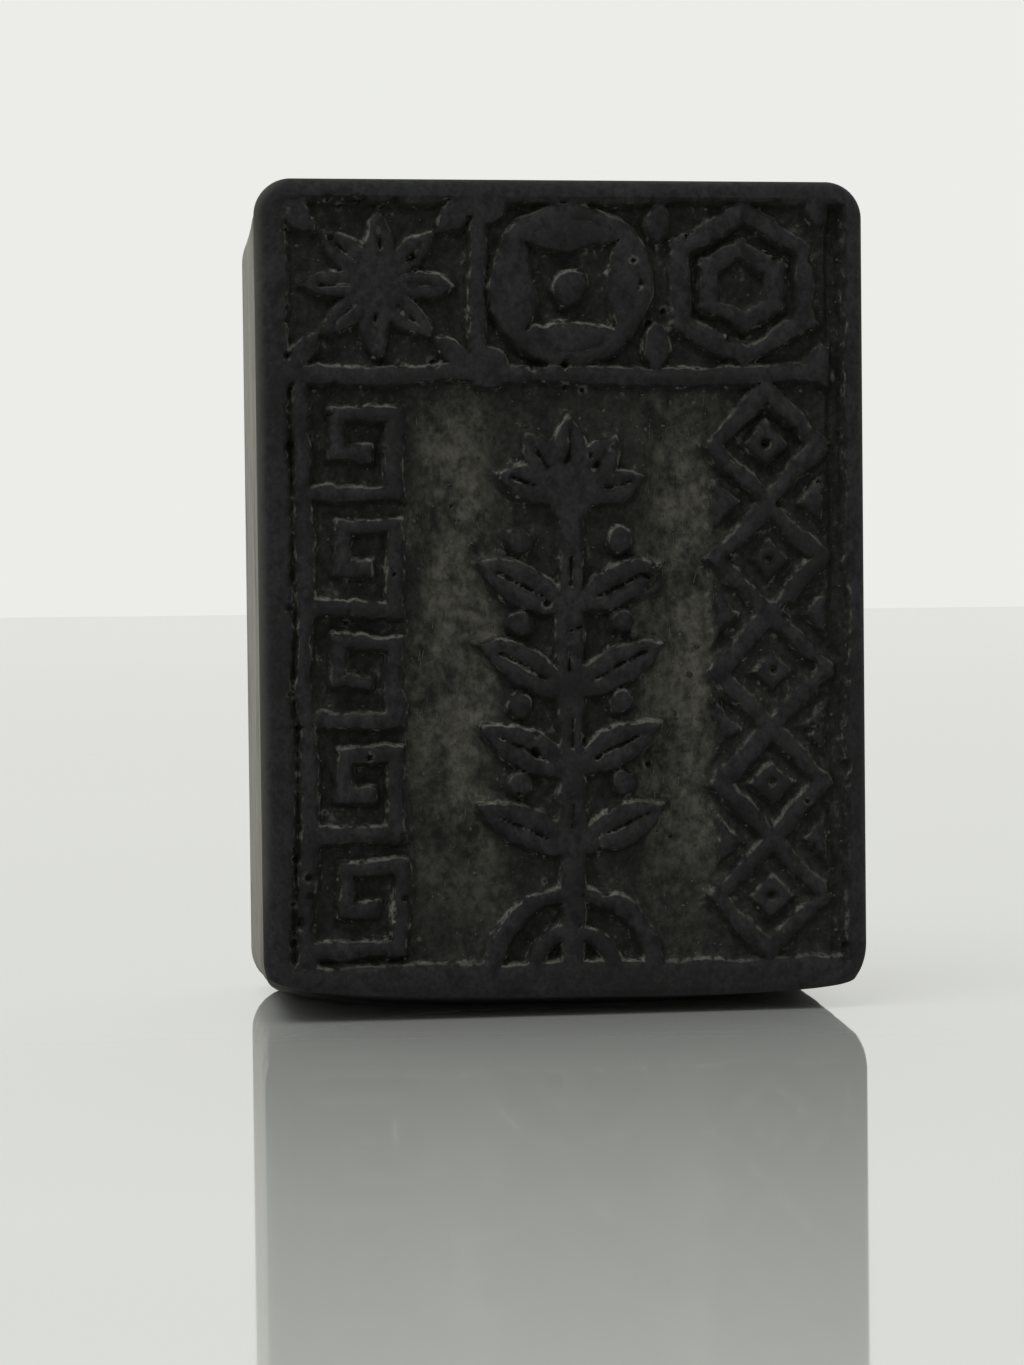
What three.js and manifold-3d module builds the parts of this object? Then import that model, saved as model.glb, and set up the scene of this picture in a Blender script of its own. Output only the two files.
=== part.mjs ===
// Seal stamp: a carved printing plate of ink-blackened wood, glued and pegged to a pale backing block.
// Millimetres, +Z up. The stamp stands on its short end with the printing face towards -Y.
// The origin is the centre of the bottom of its bounding box.

import * as THREE from "three";
import { mergeVertices } from "three/addons/utils/BufferGeometryUtils.js";
import Module from "manifold-3d";

const wasm = await Module();
wasm.setup();

// Body: one outline, sawn into plate and block at the glue joint
const WIDTH = 33;
const HEIGHT = 45;
const PLATE_THICKNESS = 4.5;
const GLUE_THICKNESS = 0.25;
const BLOCK_THICKNESS = 11.75;
const TOP_CORNER_RADIUS = 2.5;
const BOTTOM_CORNER_RADIUS = 3.3;
const EDGE_ROUNDING = 1;
const FOOT_RISE = 1.2;
const FOOT_RUN = 5;
const GLUE_INSET = 0.15;

// Pegs: four bamboo dowels that locate the plate on the block
const PEG_RADIUS = 1.25;
const PEG_CLEARANCE = 0.15;
const PEG_DEPTH_IN_PLATE = 1.75;
const PEG_DEPTH_IN_BLOCK = 5;
const PEG_CHAMFER = 0.3;
const PEG_EDGE_DISTANCE_X = 5.5;
const PEG_EDGE_DISTANCE_Z = 7;

// Printing face: raised rims and dividers, sunk ground between them
const RIM_LEFT = 1.6;
const RIM_RIGHT = 1.1;
const RIM_TOP = 1.2;
const RIM_BOTTOM = 2.85;
const HEADER_HEIGHT = 8.9;
const HEADER_CELL_WIDTH = 9.9;
const DIVIDER_WIDTH = 0.8;
const GROUND_DEPTH = 0.9;
const POCKET_CORNER_RADIUS = 0.5;
const CHANNEL_WIDTH = 1;
const CHANNEL_EXTRA_DEPTH = 0.3;
const HOLLOW_WIDTH = 4.6;
const HOLLOW_OFFSET = 6.1;
const HOLLOW_EXTRA_DEPTH = 0.5;

// Ornament: key fret on the left, leafy branch in the middle, lozenges on the right
const COLUMN_MARGIN = 0.45;
const FRET_STEP = 1.22;
const FRET_STROKE = 0.72;
const LOZENGE_WIDTH = 5.8;
const LOZENGE_HEIGHT = 6.1;
const LOZENGE_STROKE = 0.75;
const LOZENGE_CORE = 2.1;
const STEM_WIDTH = 1.2;
const LEAF_LENGTH = 5.5;
const LEAF_WIDTH = 2;
const LEAF_PITCH = 4.3;
const LEAF_RISE = THREE.MathUtils.degToRad(27);
const BERRY_RADIUS = 0.55;
const ROOT_RADIUS = 4.3;
const BLOSSOM_PETALS = 5;
const BLOSSOM_PETAL_LENGTH = 4.2;
const BLOSSOM_PETAL_WIDTH = 1.8;
const BLOSSOM_HEIGHT = 6.2;
const MEDALLION_RADIUS = 3.9;
const MEDALLION_STROKE = 0.8;
const ROSETTE_PETALS = 8;
const ROSETTE_PETAL_WIDTH = 1.45;

// Facets and cutting overshoot
const ARC_STEPS = 6;
const ROUNDING_STEPS = 4;
const PEG_SIDES = 16;
const SCOOP_SIDES = 24;
const OVERSHOOT = 0.5;

// Places worked out from the driving dimensions
const DEPTH = PLATE_THICKNESS + GLUE_THICKNESS + BLOCK_THICKNESS;
const FRONT = -DEPTH / 2;
const PLATE_BACK = FRONT + PLATE_THICKNESS;
const BLOCK_FRONT = PLATE_BACK + GLUE_THICKNESS;
const BACK = DEPTH / 2;
const FIELD = {
  left: -WIDTH / 2 + RIM_LEFT,
  right: WIDTH / 2 - RIM_RIGHT,
  bottom: RIM_BOTTOM,
  top: HEIGHT - RIM_TOP,
};
const HEADER_BOTTOM = FIELD.top - HEADER_HEIGHT;
const LOWER_TOP = HEADER_BOTTOM - DIVIDER_WIDTH;
const LOWER_HEIGHT = LOWER_TOP - FIELD.bottom;
const CELL_RIGHT = FIELD.left + HEADER_CELL_WIDTH;
const CHANNEL_LEFT = FIELD.right - CHANNEL_WIDTH;
const BRANCH_X = (FIELD.left + FIELD.right) / 2;

const inkedWood = new THREE.MeshStandardMaterial({
  name: "inked_wood", color: 0x1d1e1c, roughness: 0.62, metalness: 0, flatShading: true,
});
const paleWood = new THREE.MeshStandardMaterial({
  name: "pale_wood", color: 0x8a877c, roughness: 0.7, metalness: 0, flatShading: true,
});
const hideGlue = new THREE.MeshStandardMaterial({
  name: "hide_glue", color: 0x4a3a22, roughness: 0.4, metalness: 0, flatShading: true,
});
const bamboo = new THREE.MeshStandardMaterial({
  name: "bamboo", color: 0xb59a63, roughness: 0.6, metalness: 0, flatShading: true,
});

// A closed geometry as a solid that can be joined and cut
function solidFrom(geometry) {
  const bare = geometry.clone();
  bare.deleteAttribute("normal");
  bare.deleteAttribute("uv");
  const merged = mergeVertices(bare, 1e-5);
  const mesh = new wasm.Mesh({
    numProp: 3,
    vertProperties: new Float32Array(merged.attributes.position.array),
    triVerts: new Uint32Array(merged.index.array),
  });
  return new wasm.Manifold(mesh);
}

function geometryFrom(solid) {
  const { vertProperties, triVerts } = solid.getMesh();
  const geometry = new THREE.BufferGeometry();
  geometry.setAttribute("position", new THREE.BufferAttribute(vertProperties, 3));
  geometry.setIndex(new THREE.BufferAttribute(triVerts, 1));
  geometry.computeVertexNormals();
  return geometry;
}

function joined(solids) {
  return solids.reduce((whole, solid) => whole.add(solid));
}

// Face drawings use x across the stamp and y up it; a drawing is extruded from nearY back to farY
function extrudeBetween(shape, nearY, farY) {
  const geometry = new THREE.ExtrudeGeometry(shape, {
    depth: farY - nearY, bevelEnabled: false, curveSegments: ARC_STEPS,
  });
  geometry.rotateX(Math.PI / 2);
  geometry.translate(0, farY, 0);
  return geometry;
}

function boxBetween(low, high) {
  const geometry = new THREE.BoxGeometry(high[0] - low[0], high[1] - low[1], high[2] - low[2]);
  geometry.translate((low[0] + high[0]) / 2, (low[1] + high[1]) / 2, (low[2] + high[2]) / 2);
  return geometry;
}

function roundedRectangle(left, bottom, right, top, bottomRadius, topRadius) {
  const shape = new THREE.Shape();
  shape.moveTo(left + bottomRadius, bottom);
  shape.lineTo(right - bottomRadius, bottom);
  shape.absarc(right - bottomRadius, bottom + bottomRadius, bottomRadius, -Math.PI / 2, 0);
  shape.lineTo(right, top - topRadius);
  shape.absarc(right - topRadius, top - topRadius, topRadius, 0, Math.PI / 2);
  shape.lineTo(left + topRadius, top);
  shape.absarc(left + topRadius, top - topRadius, topRadius, Math.PI / 2, Math.PI);
  shape.lineTo(left, bottom + bottomRadius);
  shape.absarc(left + bottomRadius, bottom + bottomRadius, bottomRadius, Math.PI, 1.5 * Math.PI);
  return shape;
}

function polygon(points) {
  return new THREE.Shape(points.map(([x, y]) => new THREE.Vector2(x, y)));
}

// A straight stroke with square ends that reach half its width past both points
function stroke([x0, y0], [x1, y1], width) {
  const along = new THREE.Vector2(x1 - x0, y1 - y0).normalize().multiplyScalar(width / 2);
  return polygon([
    [x0 - along.x + along.y, y0 - along.y - along.x],
    [x1 + along.x + along.y, y1 + along.y - along.x],
    [x1 + along.x - along.y, y1 + along.y + along.x],
    [x0 - along.x - along.y, y0 - along.y + along.x],
  ]);
}

function strokesAlong(points, width) {
  return points.slice(1).map((point, i) => stroke(points[i], point, width));
}

// A pointed leaf from its foot, at an angle above the x axis
function leaf([x, y], length, width, angle) {
  const along = new THREE.Vector2(Math.cos(angle), Math.sin(angle));
  const tip = [x + along.x * length, y + along.y * length];
  const middle = [x + along.x * length / 2, y + along.y * length / 2];
  const shape = new THREE.Shape();
  shape.moveTo(x, y);
  shape.quadraticCurveTo(middle[0] + along.y * width, middle[1] - along.x * width, ...tip);
  shape.quadraticCurveTo(middle[0] - along.y * width, middle[1] + along.x * width, x, y);
  return shape;
}

function disc([x, y], radius) {
  const shape = new THREE.Shape();
  shape.absarc(x, y, radius, 0, 2 * Math.PI);
  return shape;
}

function ring([x, y], radius, width) {
  const shape = disc([x, y], radius + width / 2);
  const hole = new THREE.Path();
  hole.absarc(x, y, radius - width / 2, 0, 2 * Math.PI);
  shape.holes.push(hole);
  return shape;
}

// The upper half of a ring, as a band between two half circles
function arch([x, y], radius, width) {
  const shape = new THREE.Shape();
  shape.absarc(x, y, radius + width / 2, 0, Math.PI);
  shape.absarc(x, y, radius - width / 2, Math.PI, 0, true);
  return shape;
}

function cornersAround([x, y], radius, count, turn) {
  return Array.from({ length: count }, (_, i) => {
    const angle = turn + 2 * Math.PI * i / count;
    return [x + radius * Math.cos(angle), y + radius * Math.sin(angle)];
  });
}

function polygonRing(corners, width) {
  return strokesAlong([...corners, corners[0]], width);
}

// Running key fret: a spine beside the rim, with one square hook for each repeat
function fretColumn() {
  const hook = [[0, 0.5], [4, 0.5], [4, 4], [1.6, 4], [1.6, 2.25], [2.7, 2.25]];
  const repeat = 5 * FRET_STEP;
  const count = Math.max(1, Math.floor((LOWER_HEIGHT - FRET_STROKE) / repeat));
  const spineX = FIELD.left + COLUMN_MARGIN + FRET_STROKE / 2;
  const firstY = FIELD.bottom + (LOWER_HEIGHT - count * repeat) / 2;
  const strokes = [stroke([spineX, firstY], [spineX, firstY + count * repeat], FRET_STROKE)];
  for (let i = 0; i < count; i += 1) {
    const points = hook.map(([u, v]) => [spineX + u * FRET_STEP, firstY + i * repeat + v * FRET_STEP]);
    strokes.push(...strokesAlong(points, FRET_STROKE));
  }
  return strokes;
}

// Stacked lozenges with solid cores, and half cores where two lozenges meet
function lozengeColumn() {
  const halfWidth = LOZENGE_WIDTH / 2;
  const halfHeight = LOZENGE_HEIGHT / 2;
  const halfCore = LOZENGE_CORE / 2;
  const centreX = CHANNEL_LEFT - halfWidth - LOZENGE_STROKE / 2;
  const count = Math.max(1, Math.floor(LOWER_HEIGHT / LOZENGE_HEIGHT));
  const firstY = FIELD.bottom + (LOWER_HEIGHT - (count - 1) * LOZENGE_HEIGHT) / 2;
  const strokes = [];
  for (let i = 0; i < count; i += 1) {
    const y = firstY + i * LOZENGE_HEIGHT;
    strokes.push(...polygonRing([
      [centreX + halfWidth, y], [centreX, y + halfHeight], [centreX - halfWidth, y], [centreX, y - halfHeight],
    ], LOZENGE_STROKE));
    strokes.push(polygon([
      [centreX + halfCore, y], [centreX, y + halfCore], [centreX - halfCore, y], [centreX, y - halfCore],
    ]));
  }
  for (let i = 0; i < count - 1; i += 1) {
    const y = firstY + (i + 0.5) * LOZENGE_HEIGHT;
    for (const side of [-1, 1]) {
      const edge = centreX + side * halfWidth;
      const inner = edge - side * halfCore;
      strokes.push(polygon(side > 0
        ? [[edge, y - halfCore], [edge, y + halfCore], [inner, y]]
        : [[edge, y + halfCore], [edge, y - halfCore], [inner, y]]));
    }
  }
  return strokes;
}

// Branch: three root arches, a stem with opposite leaves and berries, and a fan of petals on top
function branchColumn() {
  const rootY = FIELD.bottom;
  const blossomY = LOWER_TOP - BLOSSOM_HEIGHT;
  const firstLeafY = rootY + ROOT_RADIUS;
  const strokes = [
    stroke([BRANCH_X, rootY], [BRANCH_X, blossomY], STEM_WIDTH),
    arch([BRANCH_X, rootY - OVERSHOOT], ROOT_RADIUS, MEDALLION_STROKE),
    arch([BRANCH_X, rootY - OVERSHOOT], ROOT_RADIUS / 2, MEDALLION_STROKE),
  ];
  const pairs = Math.max(1, Math.floor((blossomY - firstLeafY) / LEAF_PITCH));
  const slack = (blossomY - firstLeafY - pairs * LEAF_PITCH) / 2;
  for (let i = 0; i < pairs; i += 1) {
    const y = firstLeafY + slack + i * LEAF_PITCH;
    strokes.push(leaf([BRANCH_X, y], LEAF_LENGTH, LEAF_WIDTH, LEAF_RISE));
    strokes.push(leaf([BRANCH_X, y], LEAF_LENGTH, LEAF_WIDTH, Math.PI - LEAF_RISE));
    for (const side of [-1, 1]) {
      strokes.push(disc([BRANCH_X + side * LEAF_LENGTH / 2, y + LEAF_PITCH * 0.86], BERRY_RADIUS));
    }
  }
  for (let i = 0; i < BLOSSOM_PETALS; i += 1) {
    const angle = Math.PI * (0.1 + 0.8 * i / (BLOSSOM_PETALS - 1));
    strokes.push(leaf([BRANCH_X, blossomY], BLOSSOM_PETAL_LENGTH, BLOSSOM_PETAL_WIDTH, angle));
  }
  strokes.push(disc([BRANCH_X, blossomY], STEM_WIDTH));
  return strokes;
}

// Header: a rosette, four linked coins drawn as petals in a ring, and nested hexagons
function rosette(centre) {
  const petals = cornersAround(centre, MEDALLION_RADIUS, ROSETTE_PETALS, 0).map((_, i) => (
    leaf(centre, MEDALLION_RADIUS, ROSETTE_PETAL_WIDTH, 2 * Math.PI * i / ROSETTE_PETALS)));
  const corners = cornersAround(centre, MEDALLION_RADIUS * 1.3, 4, Math.PI / 4);
  return [...petals, disc(centre, MEDALLION_STROKE), ...corners.map((corner) => disc(corner, BERRY_RADIUS * 1.3))];
}

function linkedCoins(centre) {
  const petals = cornersAround(centre, MEDALLION_RADIUS, 4, Math.PI / 4);
  const bands = petals.map((from, i) => {
    const to = petals[(i + 1) % 4];
    const angle = Math.atan2(to[1] - from[1], to[0] - from[0]);
    return leaf(from, Math.hypot(to[0] - from[0], to[1] - from[1]), MEDALLION_STROKE * 2, angle);
  });
  return [...bands, ring(centre, MEDALLION_RADIUS, MEDALLION_STROKE), disc(centre, MEDALLION_STROKE)];
}

function nestedHexagons(centre) {
  return [
    ...polygonRing(cornersAround(centre, MEDALLION_RADIUS, 6, Math.PI / 6), MEDALLION_STROKE),
    ...polygonRing(cornersAround(centre, MEDALLION_RADIUS / 2, 6, Math.PI / 6), MEDALLION_STROKE),
  ];
}

function headerStrokes() {
  const y = HEADER_BOTTOM + HEADER_HEIGHT / 2;
  const rightCellLeft = CELL_RIGHT + DIVIDER_WIDTH;
  const rightCellWidth = CHANNEL_LEFT - rightCellLeft;
  return [
    ...rosette([FIELD.left + HEADER_CELL_WIDTH / 2, y]),
    ...linkedCoins([rightCellLeft + rightCellWidth / 4, y]),
    ...nestedHexagons([rightCellLeft + rightCellWidth * 3 / 4, y]),
  ];
}

// Everything that the gouge takes out of the plate's front
function reliefCut() {
  const outside = FRONT - OVERSHOOT;
  const ground = FRONT + GROUND_DEPTH;
  const pocket = (left, bottom, right, top) => solidFrom(extrudeBetween(
    roundedRectangle(left, bottom, right, top, POCKET_CORNER_RADIUS, POCKET_CORNER_RADIUS), outside, ground));
  const pockets = [
    pocket(FIELD.left, HEADER_BOTTOM, CELL_RIGHT, FIELD.top),
    pocket(CELL_RIGHT + DIVIDER_WIDTH, HEADER_BOTTOM, CHANNEL_LEFT + OVERSHOOT, FIELD.top),
    pocket(FIELD.left, FIELD.bottom, CHANNEL_LEFT + OVERSHOOT, LOWER_TOP),
  ];
  const channel = solidFrom(boxBetween(
    [CHANNEL_LEFT, outside, FIELD.bottom], [FIELD.right, ground + CHANNEL_EXTRA_DEPTH, FIELD.top]));
  const hollows = [-1, 1].map((side) => {
    const scoop = new THREE.CylinderGeometry(1, 1, LOWER_HEIGHT - 2 * POCKET_CORNER_RADIUS, SCOOP_SIDES);
    scoop.rotateX(Math.PI / 2);
    scoop.scale(HOLLOW_WIDTH / 2, HOLLOW_EXTRA_DEPTH, 1);
    scoop.translate(BRANCH_X + side * HOLLOW_OFFSET, ground, FIELD.bottom + LOWER_HEIGHT / 2);
    return solidFrom(scoop);
  });
  const drawings = [...fretColumn(), ...branchColumn(), ...lozengeColumn(), ...headerStrokes()];
  const strokeBack = ground + HOLLOW_EXTRA_DEPTH + CHANNEL_EXTRA_DEPTH;
  const strokes = joined(drawings.map((shape) => (
    solidFrom(extrudeBetween(shape, outside - OVERSHOOT, strokeBack)))));
  return joined([...pockets, ...hollows]).subtract(strokes).add(channel);
}

// The worn slope under the lower front edge, which keeps that edge off the table
function footWear() {
  const side = polygon([
    [FRONT - OVERSHOOT, -OVERSHOOT],
    [FRONT + FOOT_RUN, -OVERSHOOT],
    [FRONT + FOOT_RUN, 0],
    [FRONT - OVERSHOOT, FOOT_RISE * (1 + OVERSHOOT / FOOT_RUN)],
  ]);
  const geometry = new THREE.ExtrudeGeometry(side, { depth: 2 * WIDTH, bevelEnabled: false });
  geometry.translate(0, 0, -WIDTH);
  geometry.applyMatrix4(new THREE.Matrix4().makeBasis(
    new THREE.Vector3(0, 1, 0), new THREE.Vector3(0, 0, 1), new THREE.Vector3(1, 0, 0)));
  return solidFrom(geometry);
}

// The whole stamp's outline, rounded at front and back
function wholeBody() {
  const outline = roundedRectangle(
    -WIDTH / 2, 0, WIDTH / 2, HEIGHT, BOTTOM_CORNER_RADIUS, TOP_CORNER_RADIUS);
  const geometry = new THREE.ExtrudeGeometry(outline, {
    depth: DEPTH - 2 * EDGE_ROUNDING,
    bevelThickness: EDGE_ROUNDING,
    bevelSize: EDGE_ROUNDING,
    bevelOffset: -EDGE_ROUNDING,
    bevelSegments: ROUNDING_STEPS,
    curveSegments: ARC_STEPS,
  });
  geometry.rotateX(Math.PI / 2);
  geometry.translate(0, BACK - EDGE_ROUNDING, 0);
  return solidFrom(geometry).subtract(footWear());
}

// The part of the body between two depths
function sawn(body, nearY, farY) {
  const reach = WIDTH + HEIGHT;
  return body.intersect(solidFrom(boxBetween([-reach, nearY, -reach], [reach, farY, reach])));
}

const pegPlaces = [-1, 1].flatMap((side) => [PEG_EDGE_DISTANCE_Z, HEIGHT - PEG_EDGE_DISTANCE_Z].map((z) => (
  [side * (WIDTH / 2 - PEG_EDGE_DISTANCE_X), z])));

function pegHoles(nearY, farY) {
  return joined(pegPlaces.map(([x, z]) => {
    const radius = PEG_RADIUS + PEG_CLEARANCE;
    const hole = new THREE.CylinderGeometry(radius, radius, farY - nearY, PEG_SIDES);
    hole.translate(x, (nearY + farY) / 2, z);
    return solidFrom(hole);
  }));
}

function facePlate(body) {
  const blank = sawn(body, FRONT - OVERSHOOT, PLATE_BACK);
  const holes = pegHoles(PLATE_BACK - PEG_DEPTH_IN_PLATE - PEG_CLEARANCE, PLATE_BACK + OVERSHOOT);
  return geometryFrom(blank.subtract(reliefCut()).subtract(holes));
}

function backingBlock(body) {
  const blank = sawn(body, BLOCK_FRONT, BACK + OVERSHOOT);
  const holes = pegHoles(BLOCK_FRONT - OVERSHOOT, BLOCK_FRONT + PEG_DEPTH_IN_BLOCK + PEG_CLEARANCE);
  return geometryFrom(blank.subtract(holes));
}

function glueFilm() {
  const outline = roundedRectangle(
    -WIDTH / 2 + GLUE_INSET, GLUE_INSET, WIDTH / 2 - GLUE_INSET, HEIGHT - GLUE_INSET,
    BOTTOM_CORNER_RADIUS - GLUE_INSET, TOP_CORNER_RADIUS - GLUE_INSET);
  const film = solidFrom(extrudeBetween(outline, PLATE_BACK, BLOCK_FRONT));
  return geometryFrom(film.subtract(pegHoles(PLATE_BACK - OVERSHOOT, BLOCK_FRONT + OVERSHOOT)));
}

// A dowel turned about its own length, with chamfered ends
function pegGeometry() {
  const half = (PEG_DEPTH_IN_PLATE + GLUE_THICKNESS + PEG_DEPTH_IN_BLOCK) / 2;
  return new THREE.LatheGeometry([
    new THREE.Vector2(0, -half),
    new THREE.Vector2(PEG_RADIUS - PEG_CHAMFER, -half),
    new THREE.Vector2(PEG_RADIUS, -half + PEG_CHAMFER),
    new THREE.Vector2(PEG_RADIUS, half - PEG_CHAMFER),
    new THREE.Vector2(PEG_RADIUS - PEG_CHAMFER, half),
    new THREE.Vector2(0, half),
  ], PEG_SIDES);
}

function named(name, geometry, material) {
  const mesh = new THREE.Mesh(geometry, material);
  mesh.name = name;
  return mesh;
}

function sealStamp() {
  const stamp = new THREE.Group();
  const body = wholeBody();
  stamp.add(named("face_plate", facePlate(body), inkedWood));
  stamp.add(named("glue_film", glueFilm(), hideGlue));
  stamp.add(named("backing_block", backingBlock(body), paleWood));
  pegPlaces.forEach(([x, z], i) => {
    const peg = named(`peg_${i + 1}`, pegGeometry(), bamboo);
    peg.position.set(x, PLATE_BACK + (GLUE_THICKNESS + PEG_DEPTH_IN_BLOCK - PEG_DEPTH_IN_PLATE) / 2, z);
    stamp.add(peg);
  });
  return stamp;
}

const group = sealStamp();

export default group;
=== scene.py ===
"""Seal stamp: a carved and inked printing plate on a pale wood block, standing on its short end.

Metres, +Z up, printing face towards -Y. The frame holds the stamp's construction. This file makes the
surfaces that show: the carved face, the worn block, the glue line, and what has gathered in the carving.
The pegs in the joint are made too, though they only show when the stamp is taken apart.
"""
import math

import bmesh
import bpy
import numpy as np
from mathutils import Matrix, Vector
from mathutils.geometry import delaunay_2d_cdt


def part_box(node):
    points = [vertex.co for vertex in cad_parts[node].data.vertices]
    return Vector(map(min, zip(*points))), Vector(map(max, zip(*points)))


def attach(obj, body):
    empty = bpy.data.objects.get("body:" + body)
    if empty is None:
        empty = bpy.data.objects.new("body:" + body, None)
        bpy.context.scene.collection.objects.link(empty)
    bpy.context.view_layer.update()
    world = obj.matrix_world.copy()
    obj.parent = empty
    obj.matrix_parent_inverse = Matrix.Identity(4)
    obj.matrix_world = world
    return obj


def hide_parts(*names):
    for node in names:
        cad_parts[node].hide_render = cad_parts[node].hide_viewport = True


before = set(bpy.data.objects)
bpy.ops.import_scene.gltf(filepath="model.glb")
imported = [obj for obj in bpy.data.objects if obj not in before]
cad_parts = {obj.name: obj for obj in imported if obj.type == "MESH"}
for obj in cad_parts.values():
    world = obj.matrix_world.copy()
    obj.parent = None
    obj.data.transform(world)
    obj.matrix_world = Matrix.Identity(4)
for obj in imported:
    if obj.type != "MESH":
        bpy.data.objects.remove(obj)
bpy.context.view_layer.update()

bl_info = {
    "name": "Seal Stamp",
    "version": (1, 0, 0),
    "blender": (4, 5, 0),
    "location": "View3D > Sidebar > Seal Stamp",
    "description": "Makes a hand-carved wooden seal stamp, piece by piece",
    "category": "Object",
}

MM = 0.001
PLATE_LOW, PLATE_HIGH = (np.array(corner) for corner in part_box("face_plate"))
BLOCK_LOW, BLOCK_HIGH = (np.array(corner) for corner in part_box("backing_block"))
GLUE_LOW, GLUE_HIGH = (np.array(corner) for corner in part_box("glue_film"))
PEG_BOXES = [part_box(name) for name in sorted(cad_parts) if name.startswith("peg_")]
HALF_WIDTH = PLATE_HIGH[0]
HEIGHT = PLATE_HIGH[2]
FACE_Y = PLATE_LOW[1]
ROUND_TURN = 2 * math.pi
PICTURE_HEIGHT = 1365
NOISE_CELLS = 128
CURVE_STEPS = 32


def length(name, description, millimetres):
    return bpy.props.FloatProperty(
        name=name, description=description, default=millimetres * MM, unit="LENGTH", subtype="DISTANCE")


def share(name, description, value):
    return bpy.props.FloatProperty(
        name=name, description=description, default=value, min=0, max=1, subtype="FACTOR")


def number(name, description, value):
    return bpy.props.FloatProperty(name=name, description=description, default=value)


def whole(name, description, value):
    return bpy.props.IntProperty(name=name, description=description, default=value, min=1)


def angle(name, description, degrees):
    return bpy.props.FloatProperty(
        name=name, description=description, default=math.radians(degrees), unit="ROTATION", subtype="ANGLE")


def colour(name, description, red, green, blue):
    """A colour property from screen values between 0 and 255."""
    linear = [((v / 255 + 0.055) / 1.055) ** 2.4 if v > 10 else v / 255 / 12.92 for v in (red, green, blue)]
    return bpy.props.FloatVectorProperty(
        name=name, description=description, default=linear, size=3, min=0, max=1, subtype="COLOR")


class SealBody(bpy.types.PropertyGroup):
    """Outline, worn edges and joint of the stamp."""
    top_corner: length("Top corner", "Radius of the two upper corners at the face", 2)
    top_corner_back: length("Upper back corner", "Radius of the two upper corners at the back", 3)
    bottom_corner: length("Bottom corner", "Radius of the two lower corners at the face", 3.5)
    bottom_corner_back: length("Back corner", "Radius of the two lower corners at the back", 2.4)
    edge_rounding: length("Edge rounding", "Radius of the worn edge round the face and the back", 1)
    foot_rise: length("Foot rise", "Height of the worn lower front edge above the table", 1.1)
    foot_lean: number("Foot lean", "Rise lost for each unit across the stamp", 0.02)
    foot_bow: length("Foot bow", "How much higher the lower front edge is at its two ends", 0.74)
    foot_run: length("Foot run", "Depth of the worn slope under the lower front edge", 5)
    foot_curl: length("Foot curl", "How much the lower front edge turns up at its very ends", 0.5)
    foot_spread: number("Foot spread", "How much deeper the slope runs at its two ends", 2.4)
    foot_arris: length("Foot arris", "Rounding where the slope meets the face", 0.12)
    joint_arris: length("Joint arris", "Rounding of both pieces where they meet the glue", 0.12)
    glue_inset: length("Glue inset", "How far the glue lies behind the sides", 0.2)
    side_wander: length("Side wander", "How far the hand-planed sides stray inwards", 0.09)
    peg_clearance: length("Peg clearance", "Gap between a peg and its hole", 0.15)
    grid: length("Grid", "Spacing of the points on the carved face", 0.135)
    rounding_steps: whole("Rounding steps", "Points across each worn edge", 8)


class SealRelief(bpy.types.PropertyGroup):
    """Rims, dividers and cut depths of the printing face."""
    rim_left: length("Left rim", "Width of the rim on the left", 1.6)
    rim_right: length("Right rim", "Width of the rim on the right", 1.1)
    rim_top: length("Top rim", "Width of the upper rim", 1.2)
    rim_bottom: length("Bottom rim", "Width of the lower rim", 2.85)
    header: length("Header", "Height of the upper row of cells", 8.9)
    header_cell: length("Header cell", "Width of the cell at the upper left", 9.9)
    divider: length("Divider", "Width of the raised bars between the cells", 0.8)
    pocket_corner: length("Pocket corner", "Radius in the corners of the sunk ground", 0.5)
    channel: length("Channel", "Width of the deep channel inside the right rim", 1)
    ground: length("Ground", "Depth of the sunk ground", 0.9)
    channel_extra: length("Channel extra", "How much deeper the channel goes", 0.3)
    hollow_width: length("Hollow width", "Width of the two gouged hollows", 4.6)
    hollow_offset: length("Hollow offset", "Distance of a hollow from the branch", 6.1)
    hollow_extra: length("Hollow extra", "How much deeper the hollows go", 0.5)
    hollow_wander: length("Hollow wander", "How far the edges of the hollows stray", 2.2)
    hollow_swell: number("Hollow swell", "Share by which the hollows widen below the middle", 0.35)
    wall_run: length("Wall run", "How far a cut wall leans out", 0.32)
    foot_run: length("Foot run", "How far the ground still falls beyond a wall", 0.5)


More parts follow.
